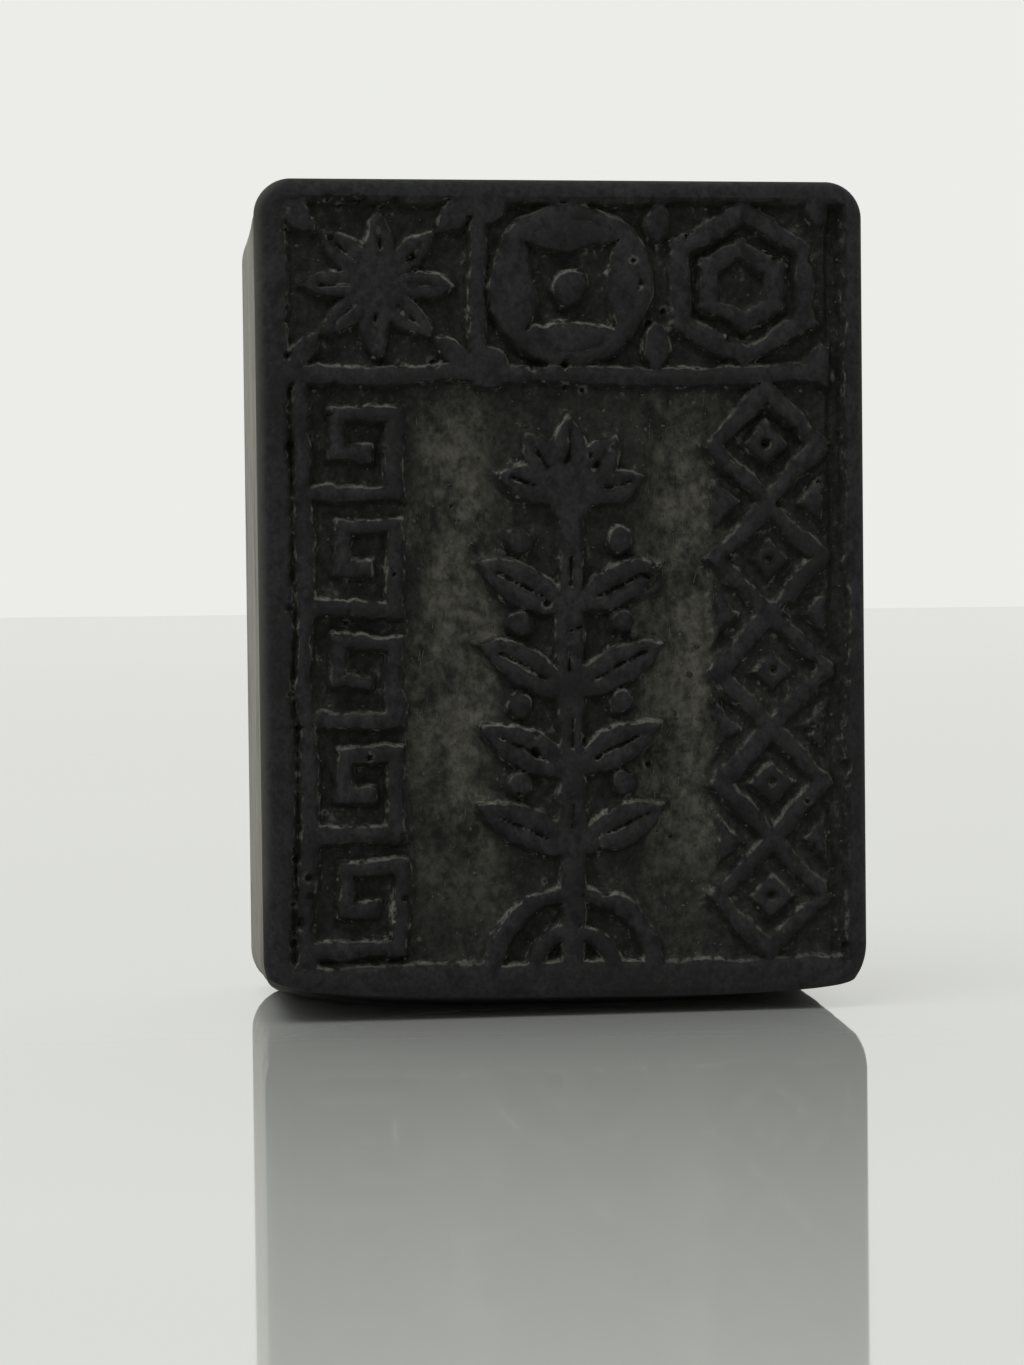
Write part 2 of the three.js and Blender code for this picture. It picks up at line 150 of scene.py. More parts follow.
class SealOrnament(bpy.types.PropertyGroup):
    """Key fret, leafy branch, lozenges and the three medallions."""
    margin: length("Margin", "Gap between the left rim and the fret", 0.45)
    fret_step: length("Fret step", "Spacing of the fret's bars", 1.22)
    fret_stroke: length("Fret stroke", "Width of the fret's bars", 0.72)
    lozenge_width: length("Lozenge width", "Width of a lozenge", 5.8)
    lozenge_height: length("Lozenge height", "Height of a lozenge", 6.1)
    lozenge_stroke: length("Lozenge stroke", "Width of a lozenge's sides", 0.75)
    lozenge_core: length("Lozenge core", "Size of the solid core", 2.1)
    stem: length("Stem", "Width of the stem", 1.2)
    leaf_length: length("Leaf length", "Length of a leaf", 5.5)
    leaf_width: length("Leaf width", "Width of a leaf", 2)
    leaf_pitch: length("Leaf pitch", "Distance from one pair of leaves to the next", 4.3)
    leaf_rise: angle("Leaf rise", "How steeply the leaves climb", 27)
    leaf_vein: length("Leaf vein", "Width of the cut along a leaf", 0.22)
    berry: length("Berry", "Radius of a berry", 0.55)
    root: length("Root", "Radius of the outer root arch", 4.3)
    petal_count: whole("Petals", "Petals of the blossom", 5)
    petal_length: length("Petal length", "Length of a blossom petal", 4.2)
    petal_width: length("Petal width", "Width of a blossom petal", 1.8)
    blossom: length("Blossom", "Height of the blossom's place", 6.2)
    medallion: length("Medallion", "Radius of the three medallions", 3.9)
    medallion_stroke: length("Medallion stroke", "Width of the medallions' bands", 0.8)
    corner_leaf: length("Corner leaf", "Length of the small leaves in the header's corners", 2.3)
    rosette_petals: whole("Rosette petals", "Petals of the rosette", 8)
    rosette_width: length("Rosette width", "Width of a rosette petal", 1.45)


class SealWear(bpy.types.PropertyGroup):
    """Marks of the hand, the knife and long use."""
    wander: length("Wander", "How far the drawing strays from its rule", 0.3)
    swell: length("Swell", "How much the strokes grow and shrink along their way", 0.17)
    tremble: length("Tremble", "Small unevenness of the cut edges", 0.12)
    chip: length("Chip", "Reach of the chips along the edges", 0.34)
    edge_wear: length("Edge wear", "Rounding of the raised edges", 0.14)
    top_wave: length("Top wave", "Unevenness of the raised tops", 0.05)
    pit_count: whole("Pits", "Small holes left by the point of the knife", 55)
    pit_size: length("Pit size", "Radius of the largest pit", 0.26)
    pit_depth: length("Pit depth", "Depth of a pit", 0.3)
    worn_side: share("Worn side", "How much shallower the carving is at the lower right", 0.4)
    gouge_pitch: length("Gouge pitch", "Width of one pass of the gouge", 1.5)
    gouge_ridge: length("Gouge ridge", "Height of the ridges between passes", 0.16)
    fibre_rise: length("Fibre rise", "Roughness of the torn ground", 0.05)
    crumb_count: whole("Crumbs", "Crumbs of dried ink in the carving", 900)
    crumb_size: length("Crumb size", "Size of the largest crumb", 0.5)
    fibre_count: whole("Fibres", "Torn wood fibres in the hollows", 500)
    fibre_length: length("Fibre length", "Length of the longest fibre", 0.6)
    fibre_radius: length("Fibre radius", "Thickness of a fibre", 0.02)


class SealColours(bpy.types.PropertyGroup):
    """Colours of the stamp's finishes."""
    ink: colour("Ink", "Ink on the raised tops", 38, 38, 39)
    # Also painted as shade on surfaces that face down
    dull_ink_and_shade: colour("Dull ink", "Ink where it has dried grey", 46, 47, 47)
    rim: colour("Rim", "Rims worn by handling", 42, 43, 43)
    # Also painted shade: the ground at the foot of the cut walls goes towards this colour
    pit: colour("Pit", "Narrow cuts filled with ink", 33, 33, 32)
    ground: colour("Ground", "Open sunk ground", 50, 50, 47)
    hollow: colour("Hollow", "Dry wood in the hollows", 81, 80, 73)
    # Also painted as highlight along the walls' upper edges and as sheen on the left edge
    scuff_and_highlight: colour("Scuff", "Edges where dust has settled", 112, 111, 104)
    fibre: colour("Fibre", "Torn fibres", 118, 116, 108)
    crumb: colour("Crumb", "Crumbs of dried ink", 86, 85, 79)
    wood: colour("Wood", "Pale wood between the rings", 153, 152, 145)
    wood_ring: colour("Wood ring", "Late wood of the rings", 132, 130, 120)
    wood_stain: colour("Wood stain", "Grime on the block", 102, 100, 92)
    glue: colour("Glue", "Hardened glue", 60, 50, 34)
    bamboo: colour("Bamboo", "Pegs between their fibres", 182, 155, 104)
    bamboo_fibre: colour("Bamboo fibre", "Dark fibres of the pegs", 126, 98, 58)


class SealStudio(bpy.types.PropertyGroup):
    """Camera, lamps and floor."""
    camera_side: length("Camera side", "Camera position across the stamp", -24.12)
    camera_distance: length("Camera distance", "Camera position in front of the face", 159.86)
    camera_height: length("Camera height", "Camera position above the floor", 22.81)
    camera_turn: angle("Camera turn", "Turn of the view to the right", 7.506)
    camera_pitch: angle("Camera pitch", "Tilt of the view below level", 1.688)
    camera_roll: angle("Camera roll", "Tilt of the view about its own axis", -0.632)
    focal_pixels: number("Focal length", "Focal length in pixels of the whole picture", 3011)
    floor_radius: length("Floor radius", "Reach of the floor", 3600)
    floor: colour("Floor", "Pale floor", 218, 220, 216)
    backdrop: colour("Backdrop", "Background that the camera sees", 236, 237, 233)
    room: share("Room", "Level of the light from the camera's side", 0.5)
    window: share("Window", "Level of the light from behind the stamp", 0.95)
    mirrored: share("Mirrored", "Level of the backdrop in reflections", 0.89)
    top_power: number("Top power", "Power of the lamp above, in watts", 2.9)


GROUPS = {
    "seal_body": SealBody, "seal_relief": SealRelief, "seal_ornament": SealOrnament, "seal_wear": SealWear,
    "seal_colours": SealColours, "seal_studio": SealStudio,
}


# Node trees

class Signal:
    """A socket in a node tree. Arithmetic on it adds Math nodes."""

    def __init__(self, sketch, socket):
        self.sketch = sketch
        self.socket = socket

    def math(self, operation, first, second=0.0):
        return self.sketch.add("ShaderNodeMath", {"operation": operation}, {0: first, 1: second})

    def __add__(self, other):
        return self.math("ADD", self, other)

    def __radd__(self, other):
        return self.math("ADD", other, self)

    def __sub__(self, other):
        return self.math("SUBTRACT", self, other)

    def __rsub__(self, other):
        return self.math("SUBTRACT", other, self)

    def __mul__(self, other):
        return self.math("MULTIPLY", self, other)

    def __rmul__(self, other):
        return self.math("MULTIPLY", other, self)

    def ramp(self, low, high):
        """Runs smoothly from 0 at low to 1 at high."""
        values = {"Value": self, "From Min": low, "From Max": high}
        return self.sketch.add("ShaderNodeMapRange", {"interpolation_type": "SMOOTHSTEP"}, values)


class Sketch:
    """A node tree to which nodes are added one at a time."""

    def __init__(self, tree):
        self.tree = tree

    def add(self, kind, settings=None, values=None, output=0):
        """Adds a node: its settings first, then the values or links of its sockets."""
        node = self.tree.nodes.new(kind)
        for name, setting in (settings or {}).items():
            setattr(node, name, setting)
        for name, value in (values or {}).items():
            self.feed(node.inputs[name], value)
        return Signal(self, node.outputs[output]) if len(node.outputs) else node

    def part(self, vector, axis):
        """One coordinate of a vector."""
        return self.add("ShaderNodeSeparateXYZ", {}, {"Vector": vector}, output=axis)

    def feed(self, socket, value):
        if isinstance(value, Signal):
            self.tree.links.new(value.socket, socket)
        else:
            socket.default_value = value


class Finish(Sketch):
    """A procedural material, with its patterns in millimetres of the object's own coordinates."""

    def __init__(self, name, roughness=0.5, specular=0.5):
        self.material = bpy.data.materials.new(name)
        self.material.use_nodes = True
        super().__init__(self.material.node_tree)
        self.shader = self.tree.nodes["Principled BSDF"]
        self.shader.inputs["Roughness"].default_value = roughness
        self.shader.inputs["Specular IOR Level"].default_value = specular
        place = self.add("ShaderNodeTexCoord", output=3)
        self.place = self.scaled(place, (1 / MM, 1 / MM, 1 / MM))

    def scaled(self, vector, factors):
        return self.add("ShaderNodeVectorMath", {"operation": "MULTIPLY"}, {0: vector, 1: factors})

    def noise(self, size, detail=3.0, roughness=0.55, distortion=0.0):
        """Noise whose features are size millimetres along x, y and z."""
        vector = self.scaled(self.place, tuple(1 / s for s in size))
        values = {"Vector": vector, "Scale": 1.0, "Detail": detail, "Roughness": roughness,
                  "Distortion": distortion}
        return self.add("ShaderNodeTexNoise", {}, values)

    def attribute(self, name):
        return self.add("ShaderNodeAttribute", {"attribute_name": name}, output=2)

    def facing(self, up):
        """How much the surface faces up, or for -1 down, from 0 to 1."""
        normal = self.add("ShaderNodeTexCoord", output=1)
        return (up * self.part(normal, 2)).ramp(0.3, 0.7)

    def mix(self, first, second, factor):
        values = {0: factor, 6: self.paint(first), 7: self.paint(second)}
        return self.add("ShaderNodeMix", {"data_type": "RGBA"}, values, output=2)

    def layered(self, surface, *layers):
        """Lays paints over a surface one after another, each as far as its factor says."""
        for paint, factor in layers:
            surface = self.mix(surface, paint, factor)
        return surface

    def shaded(self, paint, level):
        return self.add("ShaderNodeVectorMath", {"operation": "SCALE"}, {0: paint, "Scale": level})

    def paint(self, value):
        return value if isinstance(value, Signal) else (*value, 1.0)

    def bump(self, height, depth, strength=1.0):
        return self.add("ShaderNodeBump", {}, {"Height": height, "Distance": depth, "Strength": strength})

    def finish(self, **values):
        """Feeds the shader's sockets, named with underscores for spaces."""
        for name, value in values.items():
            self.feed(self.shader.inputs[name.replace("_", " ")], value)
        return self.material


# Carving

NOISE_TABLES = {}


def hand_noise(x, z, size, seed):
    """Smooth noise between -1 and 1 whose features are size millimetres across and up."""
    if seed not in NOISE_TABLES:
        NOISE_TABLES[seed] = np.random.default_rng(seed).uniform(-1, 1, (NOISE_CELLS, NOISE_CELLS))
    table = NOISE_TABLES[seed]
    u = x / (size[0] * MM) + NOISE_CELLS / 2
    v = z / (size[1] * MM) + NOISE_CELLS / 2
    i = np.floor(u).astype(int)
    j = np.floor(v).astype(int)
    s = u - i
    t = v - j
    s = s * s * (3 - 2 * s)
    t = t * t * (3 - 2 * t)
    left, right, below, above = (k % NOISE_CELLS for k in (i, i + 1, j, j + 1))
    low = table[left, below] * (1 - s) + table[right, below] * s
    high = table[left, above] * (1 - s) + table[right, above] * s
    return low * (1 - t) + high * t


def layered_noise(x, z, size, seed, layers=3):
    """Noise with finer noise laid over it, each layer half as large and half as strong."""
    total = np.zeros_like(x)
    for layer in range(layers):
        part = 0.5 ** layer
        total += part * hand_noise(x, z, (size[0] * part, size[1] * part), seed + layer)
    return total / (2 - 0.5 ** (layers - 1))


def smooth_step(value, low, high):
    t = np.clip((value - low) / (high - low), 0, 1)
    return t * t * (3 - 2 * t)


class Mark:
    """One raised mark: the distance inside its edge, and the circle that it lies in."""

    def __init__(self, centre, reach, inside):
        self.centre = centre
        self.reach = reach
        self.inside = inside


def box_inside(across, up):
    """Distance inside a box from the distances inside its two pairs of sides."""
    outside = -np.hypot(np.minimum(across, 0), np.minimum(up, 0))
    return np.where((across > 0) & (up > 0), np.minimum(across, up), outside)


def ahead(start, turn, long, part=1):
    """The place that lies part of the way along a line of this direction and length."""
    return start[0] + math.cos(turn) * long * part, start[1] + math.sin(turn) * long * part


def along_and_aside(x, z, centre, direction):
    """Places measured from a centre, along a direction and to its left."""
    dx = x - centre[0]
    dz = z - centre[1]
    return dx * direction[0] + dz * direction[1], dz * direction[0] - dx * direction[1]


def stroke(start, end, width):
    """A straight bar with square ends that reach half its width past both points."""
    run = math.hypot(end[0] - start[0], end[1] - start[1])
    direction = ((end[0] - start[0]) / run, (end[1] - start[1]) / run)
    centre = ((start[0] + end[0]) / 2, (start[1] + end[1]) / 2)

    def inside(x, z):
        along, aside = along_and_aside(x, z, centre, direction)
        return box_inside((run + width) / 2 - np.abs(along), width / 2 - np.abs(aside))
    return Mark(centre, run / 2 + width, inside)


def strokes_along(points, width):
    return [stroke(a, b, width) for a, b in zip(points, points[1:])]


def strokes_round(points, width):
    return strokes_along([*points, points[0]], width)


def diamond(x, z, half_width, half_height):
    """Corners of an upright lozenge, anticlockwise from the right."""
    return [(x + half_width, z), (x, z + half_height), (x - half_width, z), (x, z - half_height)]


def leaf(foot, long, width, turn):
    """A pointed leaf, as the overlap of two circles."""
    centre = ahead(foot, turn, long, 0.5)
    radius = (long * long / 4 + width * width / 4) / width

    def inside(x, z):
        along, aside = along_and_aside(x, z, centre, (math.cos(turn), math.sin(turn)))
        return radius - np.hypot(along, np.abs(aside) + radius - width / 2)
    return Mark(centre, long / 2, inside)


def disc(centre, radius):
    return Mark(centre, radius, lambda x, z: radius - np.hypot(x - centre[0], z - centre[1]))


def ring(centre, radius, width):
    return Mark(centre, radius + width, lambda x, z: (
        width / 2 - np.abs(np.hypot(x - centre[0], z - centre[1]) - radius)))


def convex(points):
    """A convex polygon with its corners in anticlockwise order."""
    centre = tuple(sum(p[k] for p in points) / len(points) for k in (0, 1))
    reach = max(math.dist(centre, p) for p in points)

    def inside(x, z):
        nearest = np.full(x.shape, reach)
        for a, b in zip(points, points[1:] + points[:1]):
            run = math.dist(a, b)
            gap = ((b[0] - a[0]) * (z - a[1]) - (b[1] - a[1]) * (x - a[0])) / run
            nearest = np.minimum(nearest, gap)
        return nearest
    return Mark(centre, reach, inside)


def corners_around(centre, radius, count, turn):
    return [ahead(centre, turn + ROUND_TURN * i / count, radius) for i in range(count)]


def rounded_box_inside(x, z, low, high, radii):
    """Distance inside a rectangle whose lower and upper corners have these two radii."""
    centre_z = (low[1] + high[1]) / 2
    radius = np.where(z < centre_z, radii[0], radii[1])
    across = (high[0] - low[0]) / 2 - np.abs(x - (low[0] + high[0]) / 2)
    up = (high[1] - low[1]) / 2 - np.abs(z - centre_z)
    in_corner = (across < radius) & (up < radius)
    corner = radius - np.hypot(radius - across, radius - up)
    return np.where(in_corner, corner, np.minimum(across, up))


class Carving:
    """The drawing cut into the printing face, as distances over the face."""

    def __init__(self, relief, ornament, wear):
        self.relief = relief
        self.ornament = ornament
        self.wear = wear
        self.left = -HALF_WIDTH + relief.rim_left
        self.right = HALF_WIDTH - relief.rim_right
        self.bottom = relief.rim_bottom
        self.top = HEIGHT - relief.rim_top
        self.header_bottom = self.top - relief.header
        self.lower_top = self.header_bottom - relief.divider
        self.lower_height = self.lower_top - self.bottom
        self.cell_right = self.left + relief.header_cell
        self.right_cell = self.cell_right + relief.divider
        self.channel_left = self.right - relief.channel
        self.branch_x = (self.left + self.right) / 2
        self.far = 2 * relief.foot_run + relief.wall_run
        self.marks = [*self.fret(), *self.branch(), *self.lozenges(), *self.medallions()]
        self.cuts = self.thin_cuts()
        self.pits = self.knife_pits()

    def fret(self):
        """A running key fret: a spine beside the rim with one square hook for each repeat."""
        o = self.ornament
        hook = [(0, 0.5), (4, 0.5), (4, 4), (1.6, 4), (1.6, 2.25), (2.7, 2.25)]
        hook_steps = 5
        repeat = hook_steps * o.fret_step
        count = max(1, int((self.lower_height - o.fret_stroke) / repeat))
        spine_x = self.left + o.margin + o.fret_stroke / 2
        first = self.bottom + (self.lower_height - count * repeat) / 2
        marks = [stroke((spine_x, first), (spine_x, first + count * repeat), o.fret_stroke)]
        for i in range(count):
            points = [(spine_x + u * o.fret_step, first + i * repeat + v * o.fret_step) for u, v in hook]
            marks += strokes_along(points, o.fret_stroke)
        return marks

    def lozenge_centres(self):
        o = self.ornament
        cx = self.channel_left - o.lozenge_width / 2 - o.lozenge_stroke / 2
        count = max(1, int(self.lower_height / o.lozenge_height))
        first = self.bottom + (self.lower_height - (count - 1) * o.lozenge_height) / 2
        return [(cx, first + i * o.lozenge_height) for i in range(count)]

    def lozenges(self):
        """Stacked lozenges with solid cores, and half cores where two of them meet."""
        o = self.ornament
        half_w = o.lozenge_width / 2
        half_h = o.lozenge_height / 2
        core = o.lozenge_core / 2
        centres = self.lozenge_centres()
        marks = []
        for cx, z in centres:
            marks += strokes_round(diamond(cx, z, half_w, half_h), o.lozenge_stroke)
            marks.append(convex(diamond(cx, z, core, core)))
        for cx, centre_z in centres[:-1]:
            z = centre_z + half_h
            for side in (-1, 1):
                edge = cx + side * half_w
                points = [(edge, z - side * core), (edge, z + side * core), (edge - side * core, z)]
                marks.append(convex(points))
        return marks

    def leaf_pairs(self):
        """Foot height of each pair of leaves, and the height of the blossom's foot."""
        o = self.ornament
        blossom = self.lower_top - o.blossom
        first = self.bottom + o.root
        count = max(1, int((blossom - first) / o.leaf_pitch))
        slack = (blossom - first - count * o.leaf_pitch) / 2
        return [first + slack + i * o.leaf_pitch for i in range(count)], blossom

    def branch(self):
        """Two root arches, a stem with opposite leaves and berries, and a blossom's fan of petals."""
        o = self.ornament
        x = self.branch_x
        feet, blossom = self.leaf_pairs()
        marks = [stroke((x, self.bottom), (x, blossom), o.stem), disc((x, blossom), o.stem)]
        arch_foot = self.bottom - 0.5 * MM
        berry_rise = 0.86 * o.leaf_pitch
        for radius in (o.root, o.root / 2):
            marks.append(ring((x, arch_foot), radius, o.medallion_stroke))
        for z in feet:
            marks += [leaf((x, z), o.leaf_length, o.leaf_width, turn) for turn in self.leaf_turns()]
            marks += [disc((x + side * o.leaf_length / 2, z + berry_rise), o.berry) for side in (-1, 1)]
        marks += [leaf((x, blossom), o.petal_length, o.petal_width, turn) for turn in self.petal_turns()]
        return marks

    def leaf_turns(self):
        """Directions of a pair of leaves, right and left."""
        return self.ornament.leaf_rise, math.pi - self.ornament.leaf_rise

    def petal_turns(self):
        """Directions of the blossom's petals, fanned out over the upper half."""
        count = self.ornament.petal_count
        first, spread = 0.1, 0.8
        return [math.pi * (first + spread * i / max(1, count - 1)) for i in range(count)]

    def rosette_turns(self):
        """Directions of the rosette's petals."""
        count = self.ornament.rosette_petals
        return [ROUND_TURN * i / count for i in range(count)]

    def rosette_centre(self):
        return self.left + self.relief.header_cell / 2, self.header_bottom + self.relief.header / 2

    def thin_cuts(self):
        """Veins of leaves and petals, cuts along the stem and the eyes of the lozenges."""
        o = self.ornament
        x = self.branch_x
        feet, blossom = self.leaf_pairs()
        leaf_part, stem_part, petal_part, rosette_part = (0.28, 0.8), (0.3, 0.66), (0.48, 0.82), (0.42, 0.8)
        eye = 1.4 * o.leaf_vein
        cuts = []
        for z in feet:
            cuts += [self.vein((x, z), turn, o.leaf_length, leaf_part) for turn in self.leaf_turns()]
            cuts.append(self.vein((x, z), math.pi / 2, o.leaf_pitch, stem_part))
        cuts += [self.vein((x, blossom), turn, o.petal_length, petal_part) for turn in self.petal_turns()]
        rosette = self.rosette_centre()
        cuts += [self.vein(rosette, turn, o.medallion, rosette_part) for turn in self.rosette_turns()]
        cuts += [disc(centre, eye) for centre in self.lozenge_centres()]
        return cuts

    def vein(self, foot, turn, long, parts):
        """A thin cut from one part of a line's length to another."""
        return stroke(*(ahead(foot, turn, long, part) for part in parts), self.ornament.leaf_vein)

    def knife_pits(self):
        """Small round holes, most of them small and in the left column."""
        w = self.wear
        chance = np.random.default_rng(77)
        smallest = 0.3
        pits = []
        for _ in range(w.pit_count):
            x = self.left + (self.right - self.left) * chance.random() ** 3
            z = self.bottom + (self.top - self.bottom) * chance.random()
            pits.append(disc((x, z), w.pit_size * (smallest + (1 - smallest) * chance.random() ** 2)))
        return pits

    def medallions(self):
        """A rosette, linked coins drawn as petals in a ring, and nested hexagons."""
        o = self.ornament
        right_width = self.channel_left - self.right_cell
        rosette = self.rosette_centre()
        z = rosette[1]
        coins = (self.right_cell + right_width / 4, z)
        hexagons = (self.right_cell + right_width * 3 / 4, z)
        between = (coins[0] + hexagons[0]) / 2
        corner_width = 0.5 * o.corner_leaf
        marks = [leaf(rosette, o.medallion, o.rosette_width, turn) for turn in self.rosette_turns()]
        marks.append(disc(rosette, o.medallion_stroke))
        for up in (self.header_bottom, self.top):
            for side in (self.left, self.cell_right):
                turn = math.atan2(z - up, rosette[0] - side)
                marks.append(leaf((side, up), o.corner_leaf, corner_width, turn))
            inward = math.copysign(math.pi / 2, z - up)
            marks.append(leaf((between, up), o.corner_leaf, corner_width, inward))
            marks += [disc((side, up), 2 * o.berry) for side in (self.right_cell, self.channel_left)]
        coin_petals, hexagon_sides = 4, 6
        around = corners_around(coins, o.medallion, coin_petals, math.pi / coin_petals)
        for start, end in zip(around, around[1:] + around[:1]):
            turn = math.atan2(end[1] - start[1], end[0] - start[0])
            marks.append(leaf(start, math.dist(start, end), 2 * o.medallion_stroke, turn))
        marks += [ring(coins, o.medallion, o.medallion_stroke), disc(coins, o.medallion_stroke)]
        for radius in (o.medallion, o.medallion / 2):
            corners = corners_around(hexagons, radius, hexagon_sides, math.pi / hexagon_sides)
            marks += strokes_round(corners, o.medallion_stroke)
        return marks

    def lay(self, marks, x, z):
        """Distance inside the nearest of these marks, no less than minus far."""
        best = np.full(x.shape, -self.far)
        for mark in marks:
            reach = mark.reach + self.far
            near = (np.abs(x - mark.centre[0]) < reach) & (np.abs(z - mark.centre[1]) < reach)
            best[near] = np.maximum(best[near], mark.inside(x[near], z[near]))
        return best

    def sunk(self, x, z):
        """Distance inside the pockets between the rims and dividers."""
        corner = self.relief.pocket_corner
        pockets = [
            ((self.left, self.header_bottom), (self.cell_right, self.top)),
            ((self.right_cell, self.header_bottom), (self.right, self.top)),
            ((self.left, self.bottom), (self.right, self.lower_top)),
        ]
        return np.max([rounded_box_inside(x, z, *pocket, (corner, corner)) for pocket in pockets], axis=0)

    def channel(self, x, z):
        """Distance inside the deep channel along the right rim."""
        return np.minimum(np.minimum(x - self.channel_left, self.right - x),
                          np.minimum(z - self.bottom, self.top - z))

    def wandered(self, x, z):
        """Places moved a little, as a hand strays from a drawn line."""
        w = self.wear
        size = (3.1, 3.7)
        moved_x = x + w.wander * layered_noise(x, z, size, seed=11)
        return moved_x, z + w.wander * layered_noise(x, z, size, seed=17)

    def raised(self, x, z):
        """Distance inside what stands at the printing height, with the knife's unevenness."""
        w = self.wear
        wx, wz = self.wandered(x, z)
        rims = -self.sunk(wx, wz)
        swell = w.swell * layered_noise(x, z, (1.7, 1.9), seed=29)
        drawing = np.maximum(self.lay(self.marks, wx, wz) + swell, rims)
        drawing = np.minimum(drawing, -self.channel(wx, wz))
        drawing = np.minimum(drawing, -self.lay(self.cuts, wx, wz))
        tremble = w.tremble * layered_noise(x, z, (0.55, 0.7), seed=23)
        chips = w.chip * smooth_step(layered_noise(x, z, (0.9, 1.1), seed=31), 0.42, 0.8)
        return drawing + tremble - chips

    def growth(self, x, z, raised, probe):
        """How much the distance grows over one probe to the right, and over one upwards."""
        return self.raised(x + probe, z) - raised, self.raised(x, z + probe) - raised

    def facing_up(self, x, z, raised):
        """How far the nearest cut edge faces up, from -1 to 1."""
        probe = 0.05 * MM
        least_slope = 0.2
        across, up = self.growth(x, z, raised, probe)
        return -up / np.maximum(np.hypot(across, up), least_slope * probe)

    def hollow(self, x, z):
        """How much of a place lies in the two gouged hollows, from 0 to 1."""
        r = self.relief
        swell_reach, foot_fade, head_fade = 4.5 * MM, 10 * MM, 2 * MM
        brow, floor = -0.3 * MM, 1.2 * MM
        edge = r.hollow_wander * layered_noise(x, z, (3.4, 4.4), seed=41)
        gap = np.abs(np.abs(x - self.branch_x) - r.hollow_offset) + edge
        widest = self.bottom + 0.46 * self.lower_height
        half_width = r.hollow_width / 2 * (1 + r.hollow_swell * np.exp(-((z - widest) / swell_reach) ** 2))
        foot = smooth_step(z - self.bottom, 0, foot_fade)
        head = smooth_step(self.lower_top - z, 0, head_fade)
        return smooth_step(half_width - gap, brow, floor) * foot * head

    def depth(self, x, z, raised, hollow):
        """Depth below the printing height."""
        r = self.relief
        w = self.wear
        wall_share = 0.84
        wear_reach, pit_edge, channel_edge = 0.22 * MM, 0.12 * MM, 0.25 * MM
        ground = r.ground * (0.92 + 0.3 * layered_noise(x, z, (2.8, 3.4), seed=51))
        stray = 0.6 * hand_noise(x, z, (3, 5), seed=53)
        passes = np.abs(np.sin(math.pi * (x / w.gouge_pitch + stray)))
        ripple = hand_noise(x, z, (1.4, 2.6), seed=57)
        ground += hollow * (r.hollow_extra - w.gouge_ridge * (1 - passes) + 0.5 * w.gouge_ridge * ripple)
        ground += r.channel_extra * smooth_step(self.channel(x, z), 0, channel_edge)
        ground -= w.fibre_rise * layered_noise(x, z, (0.22, 1.3), seed=61)
        lower_right = smooth_step(x, 3 * MM, 9 * MM) * smooth_step(self.lower_top - z, 0, 14 * MM)
        ground *= 1 - w.worn_side * lower_right
        wall = np.clip(-raised / r.wall_run, 0, 1)
        foot = np.clip((-raised - r.wall_run) / r.foot_run, 0, 1)
        cut = ground * (wall_share * wall + (1 - wall_share) * foot * (2 - foot))
        worn = np.clip(0.5 + 0.5 * layered_noise(x, z, (2.6, 2.6), seed=67), 0, 1)
        edge = w.edge_wear * (0.5 + 1.6 * worn) * np.exp(-np.maximum(raised, 0) / wear_reach)
        wave = w.top_wave * (0.5 + 0.5 * layered_noise(x, z, (1.1, 1.3), seed=71))
        pit = w.pit_depth * smooth_step(self.lay(self.pits, x, z), 0, pit_edge)
        return cut + edge + wave + pit

    def snapped(self, x, z, grid):
        """Places moved onto the nearest wall edge or foot, so that both stay crisp."""
        probe = 0.02 * MM
        value = self.raised(x, z)
        slope_x, slope_z = (grown / probe for grown in self.growth(x, z, value, probe))
        least_steep = 0.25
        steep = np.maximum(slope_x ** 2 + slope_z ** 2, least_steep)
        for edge in (0, -self.relief.wall_run):
            miss = edge - value
            near = np.abs(miss) < 0.5 * grid
            x = np.where(near, x + miss * slope_x / steep, x)
            z = np.where(near, z + miss * slope_z / steep, z)
        return x, z


# Shells

